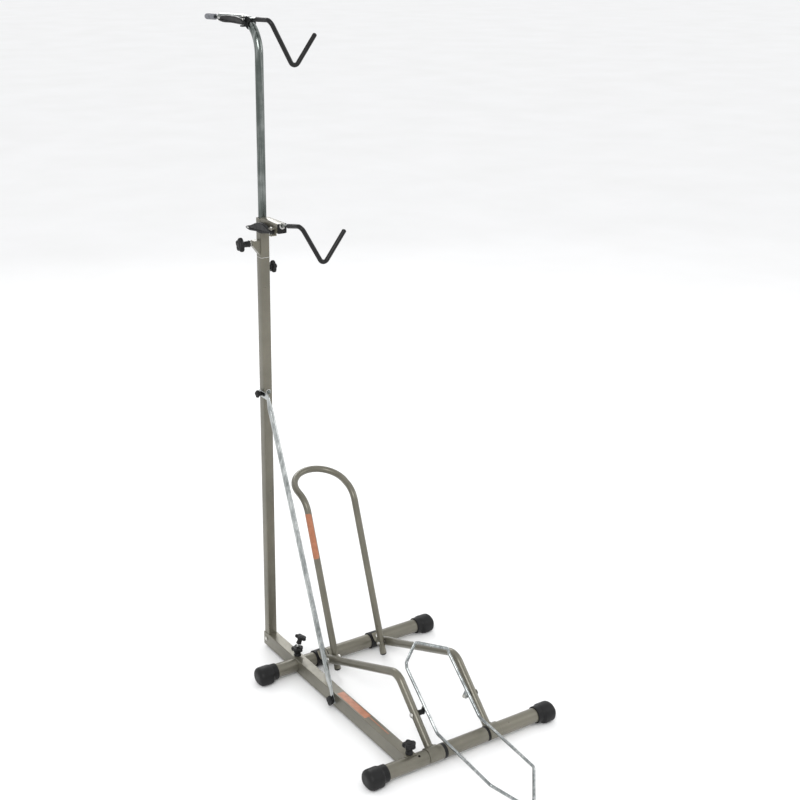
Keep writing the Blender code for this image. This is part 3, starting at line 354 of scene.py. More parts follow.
def frames_on(points, first_side=RIGHT, closed=False):
    """(point, side, up, tangent) along a path, each turned as little as possible from the last."""
    count = len(points)
    tangents = []
    for i, point in enumerate(points):
        after = points[(i + 1) % count] if closed or i + 1 < count else None
        before = points[i - 1] if closed or i else None
        if after is None:
            tangent = point - before
        elif before is None:
            tangent = after - point
        else:
            tangent = (after - point).normalized() + (point - before).normalized()
        tangents.append(tangent.normalized())
    side = Vector(first_side)
    sides = []
    for i, tangent in enumerate(tangents):
        if i:
            side = tangents[i - 1].rotation_difference(tangent) @ side
        side = (side - tangent * tangent.dot(side)).normalized()
        sides.append(side)
    if closed:
        last = tangents[-1].rotation_difference(tangents[0]) @ sides[-1]
        twist = math.atan2(last.cross(sides[0]).dot(tangents[0]), last.dot(sides[0]))
        for i, tangent in enumerate(tangents):
            sides[i] = Matrix.Rotation(twist * i / count, 3, tangent) @ sides[i]
    return [(p, s, t.cross(s), t) for p, s, t in zip(points, sides, tangents)]


def signed_power(value, power):
    return math.copysign(abs(value) ** power, value)


def swept(frames, half_side, half_up, sides=28, power=2.0, shift=0.0):
    """Rings round the frames: ellipses at power 2 and squarer above it.

    Each size is one number, or a list with one for each ring."""

    def value(size, i):
        return size[i] if isinstance(size, (list, tuple)) else size

    rings = []
    for i, (point, side, up, _) in enumerate(frames):
        bend = 2 / value(power, i)
        ring = []
        for j in range(sides):
            angle = 2 * math.pi * (j + 0.5) / sides
            c, s = math.cos(angle), math.sin(angle)
            across = signed_power(c, bend) * value(half_side, i) + value(shift, i)
            ring.append(point + side * across + up * signed_power(s, bend) * value(half_up, i))
        rings.append(ring)
    return rings


def refine(path, longest=LONGEST_RUN):
    """The same path with extra points on its long runs."""
    out = [path[0]]
    for before, after in zip(path, path[1:]):
        count = max(1, math.ceil((after - before).length / longest))
        out += [before.lerp(after, (i + 1) / count) for i in range(count)]
    return out


def smoothstep(k):
    """0 to 1 as k goes from 0 to 1, level at both ends."""
    k = min(max(k, 0), 1)
    return k * k * (3 - 2 * k)


def smooth_outline(points, steps):
    """A closed Catmull-Rom curve through the points."""
    count = len(points)
    out = []
    for i in range(count):
        a, b, c, d = (Vector(points[(i + k) % count]) for k in (-1, 0, 1, 2))
        for j in range(steps):
            t = j / steps
            square, cube = 2 * a - 5 * b + 4 * c - d, 3 * b - a - 3 * c + d
            out.append(0.5 * (2 * b + (c - a) * t + square * t * t + cube * t ** 3))
    return out


# ---- feet
def foot_cap(name, side, y):
    """A moulded cap: a sleeve with a rounded edge, and a wider pad over its outer two thirds."""
    count = 44

    def section(x, half_width, top, bottom, power):
        ring = []
        for i in range(count):
            angle = 2 * math.pi * (i + 0.5) / count
            c, s = math.cos(angle), math.sin(angle)
            bend = 1.0 if s > 0 else 2 / power
            height = top - FOOT_HEIGHT if s > 0 else FOOT_HEIGHT - bottom
            across = signed_power(c, bend) * half_width
            ring.append(at(side * x, y + across, FOOT_HEIGHT + signed_power(s, bend) * height))
        return ring

    r = 0.0222
    # Each row is the distance from the middle, the half width, the height above the axis, the
    # underside's height above the floor, and how square the lower half is.
    stations = [
        (0.2300, r - 0.0009, r - 0.0009, 0.0037, 2.0), (0.2303, r - 0.0003, r - 0.0003, 0.0031, 2.0),
        (0.2310, r, r, 0.0028, 2.0), (0.2370, r, r, 0.0028, 2.0), (0.2430, r, r, 0.0028, 2.05),
        (0.2448, 0.0227, r, 0.0024, 2.2), (0.2466, 0.0243, r + 0.0002, 0.0015, 2.5),
        (0.2484, 0.0260, r + 0.0004, 0.0007, 2.8), (0.2504, 0.0271, r + 0.0006, 0.0003, 3.0),
        (0.2530, 0.0275, r + 0.0006, 0.0002, 3.1), (0.2640, 0.0275, r + 0.0006, 0.0002, 3.1),
        (0.2760, 0.0275, r + 0.0004, 0.0002, 3.1), (0.2790, 0.0268, r - 0.0002, 0.0006, 3.05),
        (0.2818, 0.0256, r - 0.0016, 0.0014, 2.95), (0.2842, 0.0236, r - 0.0036, 0.0028, 2.8),
        (0.2860, 0.0212, r - 0.0062, 0.0050, 2.6), (0.2873, 0.0178, r - 0.0092, 0.0082, 2.45),
        (0.2880, 0.0130, r - 0.0130, 0.0122, 2.35),
    ]
    rings = [section(x, w, FOOT_HEIGHT + t, b, p) for x, w, t, b, p in stations]
    bore = FOOT_RADIUS + GAP
    inner = [section(x, bore, FOOT_HEIGHT + bore, FOOT_HEIGHT - bore, 2.0) for x in (0.2300, 0.2722)]
    piece(name + "_moulded", loft(rings[::-1] + inner), "black_plastic", "stand", [name])


for foot_name, foot_y in (("front", 0.0), ("rear", REAR_FOOT)):
    for label, sign in SIDES:
        foot_cap(f"{foot_name}_foot_cap_{label}", sign, foot_y)


def foot_length(node, radius, wall, look, edge):
    """A round length on a foot's axis with small chamfers, between the ends that the frame gives it."""
    low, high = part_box(node)
    place = frame_along((1, 0, 0), (0, (low.y + high.y) / 2, FOOT_HEIGHT), (0, 1, 0))
    profile = [(radius - edge, low.x), (radius, low.x + edge)]
    count = max(1, round((high.x - low.x) / LONGEST_RUN))
    profile += [(radius, low.x + (high.x - low.x) * i / count) for i in range(1, count)]
    inner = radius - wall
    profile += [(radius, high.x - edge), (radius - edge, high.x), (inner, high.x), (inner, low.x)]
    return piece(node + "_round", turned(profile, place, 48, loop=True), look, "stand", [node])


def carve(target, cutter_source):
    """Takes the cutter's shape out of the target's mesh for good."""
    bmesh.ops.recalc_face_normals(cutter_source, faces=cutter_source.faces)
    cutter = new_object("cutter", new_mesh("cutter", cutter_source))
    modifier = target.modifiers.new("carve", "BOOLEAN")
    modifier.operation = "DIFFERENCE"
    modifier.object = cutter
    modifier.solver = "EXACT"
    bpy.context.view_layer.update()
    carved = bpy.data.meshes.new_from_object(target.evaluated_get(bpy.context.evaluated_depsgraph_get()))
    target.modifiers.remove(modifier)
    carved.name = target.data.name + "_carved"
    target.data = carved
    bpy.data.meshes.remove(cutter.data)


HOLE_RADIUS, HOLE_REACH = 0.0032, 0.006
for label in ("left", "middle", "right"):
    length = foot_length("front_foot_tube_" + label, FOOT_RADIUS, FOOT_WALL, "olive_paint", TUBE_EDGE)
    if label == "left":
        hole = frame_along((0, -0.4, 0.9), at(-0.1370, -0.0075, FOOT_HEIGHT + 0.0165))
        carve(length, turned([(HOLE_RADIUS, -HOLE_REACH), (HOLE_RADIUS, HOLE_REACH)], hole, 24))
foot_length("rear_foot_tube", FOOT_RADIUS, FOOT_WALL, "olive_paint", TUBE_EDGE)
for label in ("left", "right"):
    foot_length("front_joint_ring_" + label, FOOT_RADIUS + 0.0003, 0.0018, "black_plastic", 0.0003)
    foot_length("rear_collar_" + label, FOOT_RADIUS + 0.0034, 0.0031, "black_plastic", 0.0010)


# ---- hand knobs
def knob(node, body, base, axis, radius, head, hub, length, lobes=5, side=RIGHT):
    """A lobed hand knob with a soft crown, a flared hub and a pressed-in cap."""
    place = frame_along(axis, base, side)
    count = lobes * 14

    def ring(size, height, depth):
        points = []
        for i in range(count):
            angle = 2 * math.pi * i / count
            wave = 0.5 - 0.5 * math.cos(lobes * angle)
            r = size * (1 - depth * wave ** 1.25)
            points.append(place @ Vector((r * math.cos(angle), r * math.sin(angle), height)))
        return points

    top = length + head
    rings = [
        ring(hub * 0.92, 0, 0), ring(hub, 0.0006, 0), ring(hub, 0.0022, 0), ring(hub * 0.90, 0.0034, 0),
        ring(hub * 0.86, length * 0.72, 0), ring(hub * 0.98, length * 0.90, 0.02),
        ring(radius * 0.72, length * 0.99, 0.16),
        ring(radius * 0.90, length + head * 0.06, 0.23), ring(radius * 0.97, length + head * 0.16, 0.245),
        ring(radius, length + head * 0.32, 0.25), ring(radius, length + head * 0.62, 0.25),
        ring(radius * 0.975, length + head * 0.78, 0.25), ring(radius * 0.91, length + head * 0.91, 0.24),
        ring(radius * 0.80, length + head * 0.985, 0.20), ring(radius * 0.66, top, 0.12),
        ring(radius * 0.50, top, 0.03),
        ring(radius * 0.47, top - 0.0007, 0), ring(radius * 0.42, top - 0.0009, 0),
    ]
    piece(node + "_moulded", loft(rings), "black_plastic", body, [node])
    r = radius * 0.40
    cap = [(r, top - 0.0009), (r, top - 0.0003), (r * 0.93, top)]
    cap += [(r * 0.5, top + 0.0002), (r * 0.12, top + 0.0003)]
    piece(node + "_cap", turned(cap, place, 28), "black_plastic", body)


STUD_RADIUS, THREAD_PITCH, PLAIN_END = 0.004, 0.00125, 0.0005
THREAD_ROOT = STUD_RADIUS * 0.86


def stud(name, body, base, axis, low, high):
    """A threaded stud: rings of thread, with plain ends."""
    threaded = high - low - 2 * PLAIN_END
    count = max(2, round(threaded / THREAD_PITCH))
    pitch = threaded / count
    profile = [(THREAD_ROOT, low)]
    for i in range(count):
        start = low + PLAIN_END + pitch * i
        profile += [(THREAD_ROOT, start), (STUD_RADIUS, start + pitch * 0.5)]
    profile.append((THREAD_ROOT, high))
    made = turned(profile, frame_along(axis, base), 20)
    piece(name, made, "zinc_fastener", body, smooth=20)


FRONT_KNOB = at(BEAM_X, 0.010, BEAM_TOP + GAP)
knob("front_beam_knob", "front_beam_screw", FRONT_KNOB, UP, 0.018, 0.012, 0.0095, 0.0185)
stud("front_beam_knob_stud", "front_beam_screw", at(BEAM_X, 0.010, BEAM_TOP), UP, -0.0085, 0.0006)
REAR_KNOB = at(BEAM_X, REAR_FOOT + 0.0106, BEAM_TOP + GAP)
knob("rear_beam_knob", "rear_beam_screw", REAR_KNOB, UP, 0.017, 0.011, 0.0100, 0.0140)
stud("rear_beam_knob_stud", "rear_beam_screw", REAR_KNOB, UP, -0.0085, 0.0004)
TOGGLE_TILT = math.radians(21)
LEAN = Vector((math.sin(TOGGLE_TILT), -0.06, math.cos(TOGGLE_TILT))).normalized()
TOGGLE_SEAT = REAR_KNOB + Vector((0, 0, 0.0256))
knob("toggle_knob", "toggle", TOGGLE_SEAT + LEAN * 0.0100, LEAN, 0.0168, 0.0085, 0.0075, 0.0150)
CARRIAGE_KNOB = at(BEAM_X - 0.0390, MAST_Y, 1.1790)
knob("carriage_knob", "carriage_clamp", CARRIAGE_KNOB, LEFT, 0.0190, 0.0115, 0.0088, 0.0200, side=UP)
MAST_KNOB = at(BEAM_X + MAST_HALF + GAP, MAST_Y, 1.111)
knob("mast_top_knob", "mast_clamp", MAST_KNOB, RIGHT, 0.0165, 0.0110, 0.0085, 0.0095, side=UP)
stud("mast_top_knob_stud", "mast_clamp", MAST_KNOB, RIGHT, -0.0018, 0.0004)
BRACE_X, BRACE_RADIUS = BEAM_X - 0.0163, 0.007
BRACE_OUT = BRACE_X - 0.0018
BRACE_FOOT, BRACE_HEAD, BRACE_PIVOT = (0.3355, 0.0255), (0.6585, 0.7715), (0.696, 0.7715)
for label, (knob_y, knob_z), radius in (("lower", BRACE_FOOT, 0.0145), ("upper", BRACE_PIVOT, 0.0105)):
    knob(f"brace_{label}_knob", f"brace_{label}", at(BRACE_OUT, knob_y, knob_z), LEFT, radius, 0.008,
         radius * 0.62, 0.0045, lobes=4, side=UP)


# ---- wheel hoop, side rails, brace
HOOP_X, HOOP_RADIUS = 0.0755, 0.0093
HOOP_FOOT, HOOP_KINK = (0.4662, 0.020), (0.6282, 0.4583)
HOOP_LEAN, HOOP_RISE = math.radians(72.6), 0.0452
HOOP_WALL, PRESSED_THIN, PRESSED_WIDE, PRESSED_HALF = 0.0014, 0.0080, 0.0102, 0.010
TAPER_ABOVE, TAPER_BELOW = 0.026, 0.014
CROSSING = (0.4768, 0.0488)
RAIL_X, RAIL_RADIUS = 0.090, 0.0105
RAIL_PEAK = (0.158, 0.1738)
RAIL_FRONT, RAIL_SLOPE = (0.006, 0.0233), math.atan(0.392)
SADDLE_X, SADDLE_RADIUS = 0.0935, FOOT_RADIUS + 0.0026
TAB_ANGLE = math.radians(135)
TAB_OUTWARD = Vector((0, math.cos(TAB_ANGLE), math.sin(TAB_ANGLE)))
LEG_FOOT, LEG_KINK = at(-HOOP_X, *HOOP_FOOT), at(-HOOP_X, *HOOP_KINK)
LEG_RISE = (LEG_KINK - LEG_FOOT).normalized()


def leg_at(z):
    """The point at a height on the axis of the hoop's left leg, below its kink."""
    return LEG_FOOT + LEG_RISE * (z - LEG_FOOT.z) / LEG_RISE.z


def hoop():
    """The hoop's tube, pressed narrower where it crosses the side rails."""
    back = Vector((0, math.sin(HOOP_LEAN), math.cos(HOOP_LEAN)))
    spring = LEG_KINK + back * HOOP_RISE
    leg = rounded_path([LEG_FOOT, LEG_KINK, spring], [0.060], 10)
    heights = (0.028, 0.032, 0.036, 0.041, 0.049, 0.057, 0.064, 0.072, 0.080, 0.090)
    low = [leg_at(z) for z in heights]
    leg = [leg[0], *low, *refine([low[-1], leg[1]], 0.06)[1:-1], *leg[1:]]
    centre = spring + Vector((HOOP_X, 0, 0))
    steps = 36
    arch = []
    for i in range(1, steps):
        angle = math.pi * i / steps
        arch.append(centre + Vector((-math.cos(angle) * HOOP_X, 0, 0)) + back * math.sin(angle) * HOOP_X)
    path = leg + arch + [Vector((-p.x, p.y, p.z)) for p in leg[::-1]]
    frames = frames_on(path)
    thin, wide = [], []
    for point, _, _, _ in frames:
        taper = TAPER_ABOVE if point.z > CROSSING[1] else TAPER_BELOW
        k = smoothstep((abs(point.z - CROSSING[1]) - PRESSED_HALF) / taper)
        thin.append(PRESSED_THIN + (HOOP_RADIUS - PRESSED_THIN) * k)
        wide.append(PRESSED_WIDE + (HOOP_RADIUS - PRESSED_WIDE) * k)
    outer = swept(frames, thin, wide, 32)
    inner = swept(frames, [a - HOOP_WALL for a in thin], [b - HOOP_WALL for b in wide], 32)
    tube = loft(outer + inner[::-1], loop=True)
    piece("wheel_hoop_tube", tube, "olive_paint", "stand", ["wheel_hoop"])


hoop()


def coped(point, along, radius):
    """The point slid along a tube until it meets a cylinder round the front foot's axis."""
    low, high = 0.0, 0.08
    for _ in range(24):
        mid = (low + high) / 2
        test = point + along * mid
        inside = math.hypot(test.y - FRONT_Y, test.z - FOOT_HEIGHT) < radius
        low, high = (mid, high) if inside else (low, mid)
    return point + along * high


def rail_line(side):
    """The front end of a side rail's axis, its peak, and the direction from one to the other."""
    front, peak = at(side * RAIL_X, *RAIL_FRONT), at(side * RAIL_X, *RAIL_PEAK)
    return front, peak, (peak - front).normalized()


def rail_path(side):
    """A side rail's axis: up from the front foot, down past its peak, and round into the rear tab."""
    front, peak, _ = rail_line(side)
    down = Vector((0, math.cos(RAIL_SLOPE), -math.sin(RAIL_SLOPE)))
    bolt = at(side * RAIL_X, REAR_FOOT, FOOT_HEIGHT) + TAB_OUTWARD * (FOOT_RADIUS + 0.0066)
    up = Vector((0, math.sin(math.radians(45)), math.sin(math.radians(45))))
    turn, tip = bolt - up * 0.0111, bolt + up * 0.0125
    steps = 9
    path = rounded_path([front, peak, turn, tip], [0.040, 0.008], steps)
    after_peak = steps + 2
    stations = [0.230, 0.30, 0.36, 0.40, 0.412, 0.425, 0.44, 0.455, 0.47, 0.486, 0.490, 0.494, 0.498, 0.502]
    straight = [peak + down * ((y + FRONT_Y - peak.y) / down.y) for y in stations]
    return refine(path[:2])[:-1] + path[1:after_peak] + straight + path[after_peak:]


def rail_tube(name, side):
    """A side rail: round, then pressed where the hoop crosses it, then flat at its rear tab."""
    frames = frames_on(rail_path(side), (side, 0, 0))
    thin, wide, power, shift = [], [], [], []
    for point, _, _, _ in frames:
        y = point.y - FRONT_Y
        cross, tab = smoothstep((y - 0.400) / 0.055), smoothstep((y - 0.486) / 0.016)
        a = RAIL_RADIUS + (0.0070 - RAIL_RADIUS) * cross
        b = RAIL_RADIUS + (0.0125 - RAIL_RADIUS) * cross
        thin.append(a + (0.0140 - a) * tab)
        wide.append(b + (0.0020 - b) * tab)
        power.append(2 + 0.6 * cross + 1.9 * tab)
        shift.append(0.0022 * cross * (1 - tab))
    rings = swept(frames, thin, wide, 32, power, shift)
    _, _, along = rail_line(side)
    rings[0] = [coped(point, along, FOOT_RADIUS + 0.0010) for point in rings[0]]
    piece(name + "_tube", loft(rings), "olive_paint", "stand", [name])


def rail_saddle(name, side):
    """The open band round the front foot that a side rail is welded to."""
    count = 34
    arc = [math.radians(-15 + 210 * i / count) for i in range(count + 1)]

    def curve(x, radius, angles):
        return [at(x, radius * math.cos(a), FOOT_HEIGHT + radius * math.sin(a)) for a in angles]

    rings = []
    for offset, inset in ((-0.017, 0.0007), (-0.0163, 0.0), (0.0163, 0.0), (0.017, 0.0007)):
        x = side * SADDLE_X + offset
        rings.append(curve(x, SADDLE_RADIUS - inset, arc) + curve(x, FOOT_RADIUS + GAP, arc[::-1]))
    piece(name + "_saddle", loft(rings), "olive_paint", "stand")


def rail_weld(name, side):
    """The bead where a side rail meets its saddle."""
    front, _, along = rail_line(side)
    across = Vector((side, 0, 0))
    steps = 48
    points = []
    for i in range(steps):
        angle = 2 * math.pi * i / steps
        around = across * math.cos(angle) + along.cross(across) * math.sin(angle)
        points.append(coped(front + around * (RAIL_RADIUS + 0.0003), along, SADDLE_RADIUS + 0.0002))
    sizes = [0.0017 + 0.00035 * math.sin(2.1 * i) for i in range(steps)]
    bead = swept(frames_on(points, (side, 0, 0), closed=True), sizes, sizes, 12)
    piece(name + "_weld", loft(bead, loop=True), "weld_metal", "stand", slot="olive_paint")


for label, sign in SIDES:
    rail_tube("side_rail_" + label, sign)
    rail_saddle("side_rail_" + label, sign)
    rail_weld("side_rail_" + label, sign)


def brace():
    """The plated brace, pressed flat at both ends."""
    foot, head, pivot = (at(BRACE_X, *place) for place in (BRACE_FOOT, BRACE_HEAD, BRACE_PIVOT))
    along = (head - foot).normalized()
    end = pivot + (pivot - head).normalized() * 0.010
    taper = (-0.010, -0.0088, 0, 0.014, 0.020, 0.026, 0.030, 0.034, 0.038, 0.042, 0.047, 0.052, 0.058)
    near = [foot + along * s for s in taper]
    bend = rounded_path([head - along * 0.050, head, end], [0.011], 9)
    last = [head - along * s for s in (0.044, 0.038, 0.032, 0.026, 0.020)]
    edge = end - (end - pivot).normalized() * 0.0012
    path = near + refine([near[-1], bend[0]], 0.05)[1:] + last + bend[1:-1] + [edge, end]
    frames = frames_on(path)
    thin, wide = [], []
    for i, (point, _, _, _) in enumerate(frames):
        low = (point.z - foot.z) / along.z
        high = (head.z - 0.004 - point.z) / along.z
        k = smoothstep(min(low - 0.026, high) / 0.028)
        at_end = i in (0, len(frames) - 1)
        thin.append((0.0015 + 0.0055 * k) * (0.7 if at_end else 1))
        wide.append((0.0088 + (BRACE_RADIUS - 0.0088) * k) * (0.82 if at_end else 1))
    power = [2 + 2 * (BRACE_RADIUS - t) / BRACE_RADIUS for t in thin]
    tube = loft(swept(frames, thin, wide, 28, power))
    piece("brace_tube_drawn", tube, "chrome_brace", "stand", ["brace_tube"], "chrome_plate")


brace()


# ---- wire cradle
CRADLE_X, CRADLE_WIRE = 0.066, 0.004
PIVOT = (0.079, 0.096)


def cradle_wire():
    """One closed wire: down to the floor in front, up over the pivots, and to a point behind."""
    x = CRADLE_X
    half = [(0, -0.2776, 0.0013), (x, -0.195, 0.0475), (x, 0.017, 0.0665), (x, 0.152, 0.1815)]
    half.append((x - 0.0012, 0.157, 0.1950))
    rear = (0, 0.2095, 0.2072)
    corners = [at(*p) for p in [*half, rear, *[(-p[0], p[1], p[2]) for p in half[1:]][::-1]]]
    radii = [0.010, 0.012, 0.020, 0.006, 0.006, 0.009, 0.006, 0.006, 0.020, 0.012]
    path = rounded_path([corners[-1], *corners, corners[0]], radii, 8)[1:-1]
    wire = loft(swept(frames_on(path, closed=True), CRADLE_WIRE, CRADLE_WIRE, 20), loop=True)
    piece("cradle_wire_drawn", wire, "chrome_wire", "cradle", ["cradle_wire"], "chrome_plate")


def cradle_lugs():
    """Two flat lugs, each round at both ends, from the pivot to the wire."""
    base, top = Vector(PIVOT), Vector((0.0735, 0.1125))
    angle = math.atan2(top.y - base.y, top.x - base.x)
    outline = []
    for centre, r, start in ((base, 0.0078, angle + math.pi / 2), (top, 0.0062, angle - math.pi / 2)):
        for i in range(17):
            a = start + math.pi * i / 16
            outline.append((centre.x, centre.y, r, a))
    for label, side in SIDES:
        rings = []
        for offset, inset in ((-0.0015, 0.0004), (-0.0011, 0), (0.0011, 0), (0.0015, 0.0004)):
            x = side * CRADLE_X + offset
            rings.append([at(x, cy + (r - inset) * math.cos(a), cz + (r - inset) * math.sin(a))
                          for cy, cz, r, a in outline])
        piece("cradle_lug_" + label, loft(rings), "chrome_wire", "cradle", slot="chrome_plate")


cradle_wire()
cradle_lugs()


# ---- pole and hooks
TAIL_DROOP, LOWER_RISE = math.radians(2.0), math.radians(10.0)
TAIL = Vector((0, math.cos(TAIL_DROOP), -math.sin(TAIL_DROOP)))
RISE = Vector((0, -math.cos(LOWER_RISE), math.sin(LOWER_RISE)))
KNEE = at(BEAM_X, MAST_Y, 1.7263)
POLE_RADIUS, ROD_RADIUS, VINYL_RADIUS = 0.0105, 0.004, 0.00575
UPPER_HOOK_Y, LOWER_HOOK_Y, STUB_FRONT = 0.641, 0.505, 0.600
POLE_WALL, VALLEY_RADIUS = 0.0018, 0.012


def on_tail(y):
    """A point on the axis of the pole's tail."""
    return KNEE + TAIL * ((y - MAST_Y) / TAIL.y)


def on_lower_rod(y):
    """A point on the axis of the lower hook's rod."""
    return at(BEAM_X, STUB_FRONT, 1.2395) + RISE * ((STUB_FRONT - y) / -RISE.y)


def ring_on(place, offset, radius, sides):
    """One round ring, moved along its frame's tangent."""
    point, side, up, tangent = place
    return swept([(point + tangent * offset, side, up, tangent)], radius, radius, sides)


def rod(points, radius, sides=20, blunt=0.0008):
    """A solid rod with blunted ends."""
    frames = frames_on(points)
    rings = swept(frames, radius, radius, sides)
    for step, size in ((0.5, 0.93), (1.0, 0.74)):
        start = ring_on(frames[0], -blunt * step, radius * size, sides)
        rings = start + rings + ring_on(frames[-1], blunt * step, radius * size, sides)
    return loft(rings)


def dipped(points, radius, sides=24, end_wall=0.0042):
    """A dipped sleeve with a lip at its start and a full round end."""
    frames = frames_on(points)
    rings = []
    for offset, size in ((0.0, 0.84), (0.0003, 0.95), (0.0009, 1.0), (0.0022, 1.06), (0.0036, 1.02)):
        rings += ring_on(frames[0], offset, radius * size, sides)
    rings += swept(frames[1:], radius, radius, sides)
    for i in range(1, 8):
        a = math.pi / 2 * i / 7.6
        rings += ring_on(frames[-1], end_wall * math.sin(a), radius * math.cos(a), sides)
    return loft(rings)


pole_points = rounded_path([at(BEAM_X, MAST_Y, 0.840), KNEE, on_tail(0.893)], [0.080], 22)
pole_frames = frames_on([pole_points[0], *refine(pole_points[:2], 0.08)[1:-1], *pole_points[1:]])
pole_rings = swept(pole_frames, POLE_RADIUS, POLE_RADIUS, 36)
pole_bore = swept(pole_frames, POLE_RADIUS - POLE_WALL, POLE_RADIUS - POLE_WALL, 36)
pole_tube = loft(pole_rings + pole_bore[::-1], loop=True)
piece("chrome_pole_drawn", pole_tube, "chrome_plate", "pole", ["chrome_pole"])


def hook(name, rod_end, sleeve_end, corners, bend_radius):
    """A plated rod bent to a V, and the dipped sleeve over all but its straight end."""
    radii = [bend_radius, VALLEY_RADIUS]
    bare = rod(rounded_path([rod_end, *corners], radii, 10), ROD_RADIUS)
    piece(name + "_rod_drawn", bare, "chrome_plate", name, [name + "_rod"])
    sleeve = dipped(rounded_path([sleeve_end, *corners], radii, 10), VINYL_RADIUS)
    piece(name + "_dip", sleeve, "black_vinyl", name, [name + "_sleeve"])


UPPER_V_Y = UPPER_HOOK_Y - 0.001
upper_v = [on_tail(UPPER_HOOK_Y), at(-0.0904, UPPER_V_Y, 1.6105), at(-0.0320, UPPER_V_Y, 1.6890)]
hook("upper_hook", on_tail(0.971), on_tail(0.7075), upper_v, 0.015)
lower_v = [on_lower_rod(LOWER_HOOK_Y), at(-0.0920, LOWER_HOOK_Y, 1.1505), at(-0.0320, LOWER_HOOK_Y, 1.2305)]
hook("lower_hook", on_lower_rod(0.650), on_lower_rod(0.568), lower_v, 0.014)


def collar(node, body, y, profile):
    """A moulded piece on the tail's axis, from its profile."""
    made = turned(profile, frame_along(TAIL, on_tail(y)), 32, loop=True)
    piece(node + "_moulded", made, "grey_plastic", body, [node], "black_plastic")


def ribbed(length, radius, bore):
    """A collar's profile with a row of shallow grip rings."""
    profile = [(bore, 0.0), (radius * 0.88, 0.0), (radius * 0.98, 0.0008), (radius, 0.0018)]
    step = (length - 0.0044) / 4
    for i in range(4):
        start = 0.0022 + step * i
        profile += [(radius, start + step * 0.45), (radius * 0.93, start + step * 0.58)]
        profile += [(radius * 0.93, start + step * 0.85), (radius, start + step)]
    return profile + [(radius * 0.98, length - 0.0008), (radius * 0.88, length), (bore, length)]


collar("upper_stop_collar", "upper_reach", 0.925, ribbed(0.021, 0.0076, 0.0043))
cap_profile = ribbed(0.0215, 0.0076, 0.0043)[:-2]
cap_profile += [(0.0070, 0.0228), (0.0058, 0.0240), (0.0040, 0.0248)]
cap_profile += [(0.0015, 0.0251), (0.0004, 0.0251), (0.0004, 0.0212)]
collar("upper_rod_end_cap", "upper_hook", 0.9500, cap_profile)


# ---- cam levers
UPPER_CAM = at(BEAM_X - 0.0227, 0.7350, 1.7185)
LOWER_CAM = at(BEAM_X - 0.0230, 0.6110, 1.2248)
UPPER_LEVER = [
    (-0.0035, -0.0058), (-0.0062, -0.0015), (-0.0020, 0.0045), (0.0120, 0.0090), (0.0400, 0.0118),
    (0.0770, 0.0115), (0.1070, 0.0085), (0.1230, 0.0030), (0.1220, -0.0020), (0.0990, -0.0062),
    (0.0550, -0.0050), (0.0150, -0.0056),
]
LOWER_LEVER = [
    (-0.0040, -0.0042), (-0.0062, -0.0005), (-0.0030, 0.0036), (0.0120, 0.0062), (0.0330, 0.0125),
    (0.0540, 0.0138), (0.0740, 0.0092), (0.1020, -0.0015), (0.1245, -0.0080), (0.1250, -0.0130),
    (0.1070, -0.0160), (0.0740, -0.0125), (0.0550, -0.0138), (0.0290, -0.0092), (0.0100, -0.0055),
]


def lever(node, body, pivot, outline, highlight_from):
    """A moulded handle with soft edges, a pressed-in panel on its outer face, and a grey oval near its tip as
    a painted highlight.
    """
    curve = smooth_outline(outline, 5)
    normals = []
    for i, point in enumerate(curve):
        tangent = (curve[(i + 1) % len(curve)] - curve[i - 1]).normalized()
        normals.append(Vector((tangent.y, -tangent.x)))
    area = sum(a.x * b.y - b.x * a.y for a, b in zip(curve, curve[1:] + curve[:1]))
    if area < 0:
        normals = [-n for n in normals]

    def ring(x, inset):
        out = []
        for point, normal in zip(curve, normals):
            moved = point - normal * inset
            out.append(pivot + Vector((x, moved.x, moved.y)))
        return out

    half = 0.00525
    rings = [
        ring(-half + 0.0004, 0.0031), ring(-half, 0.0026), ring(-half, 0.0019),
        ring(-half + 0.0006, 0.0009), ring(-half + 0.0020, 0.0), ring(half - 0.0020, 0.0),
        ring(half - 0.0006, 0.0009), ring(half, 0.0021),
    ]
    piece(node + "_moulded", loft(rings), "black_plastic", body, [node], smooth=50)
    # The grey oval near the tip is a painted highlight.
    tip = [p for p in outline if p[0] > highlight_from]
    tx, ty = (sum(p[k] for p in tip) / len(tip) for k in (0, 1))
    oval = []
    for i in range(28):
        a = 2 * math.pi * i / 28
        along, up = signed_power(math.cos(a), 0.8), signed_power(math.sin(a), 0.8)
        oval.append((tx + 0.0065 * along, ty + 0.0022 * up))
    patch = []
    for x, size in ((-half + 0.0006, 1.0), (-half - 0.00015, 1.0), (-half - 0.0003, 0.9)):
        patch.append([pivot + Vector((x, tx + (p - tx) * size, ty + (q - ty) * size)) for p, q in oval])
    piece(node + "_tip", loft(patch), "painted_highlight", body, slot="black_plastic")


lever("upper_cam_lever", "upper_lever", UPPER_CAM, UPPER_LEVER, 0.10)
lever("lower_cam_lever", "lower_lever", LOWER_CAM, LOWER_LEVER, 0.10)


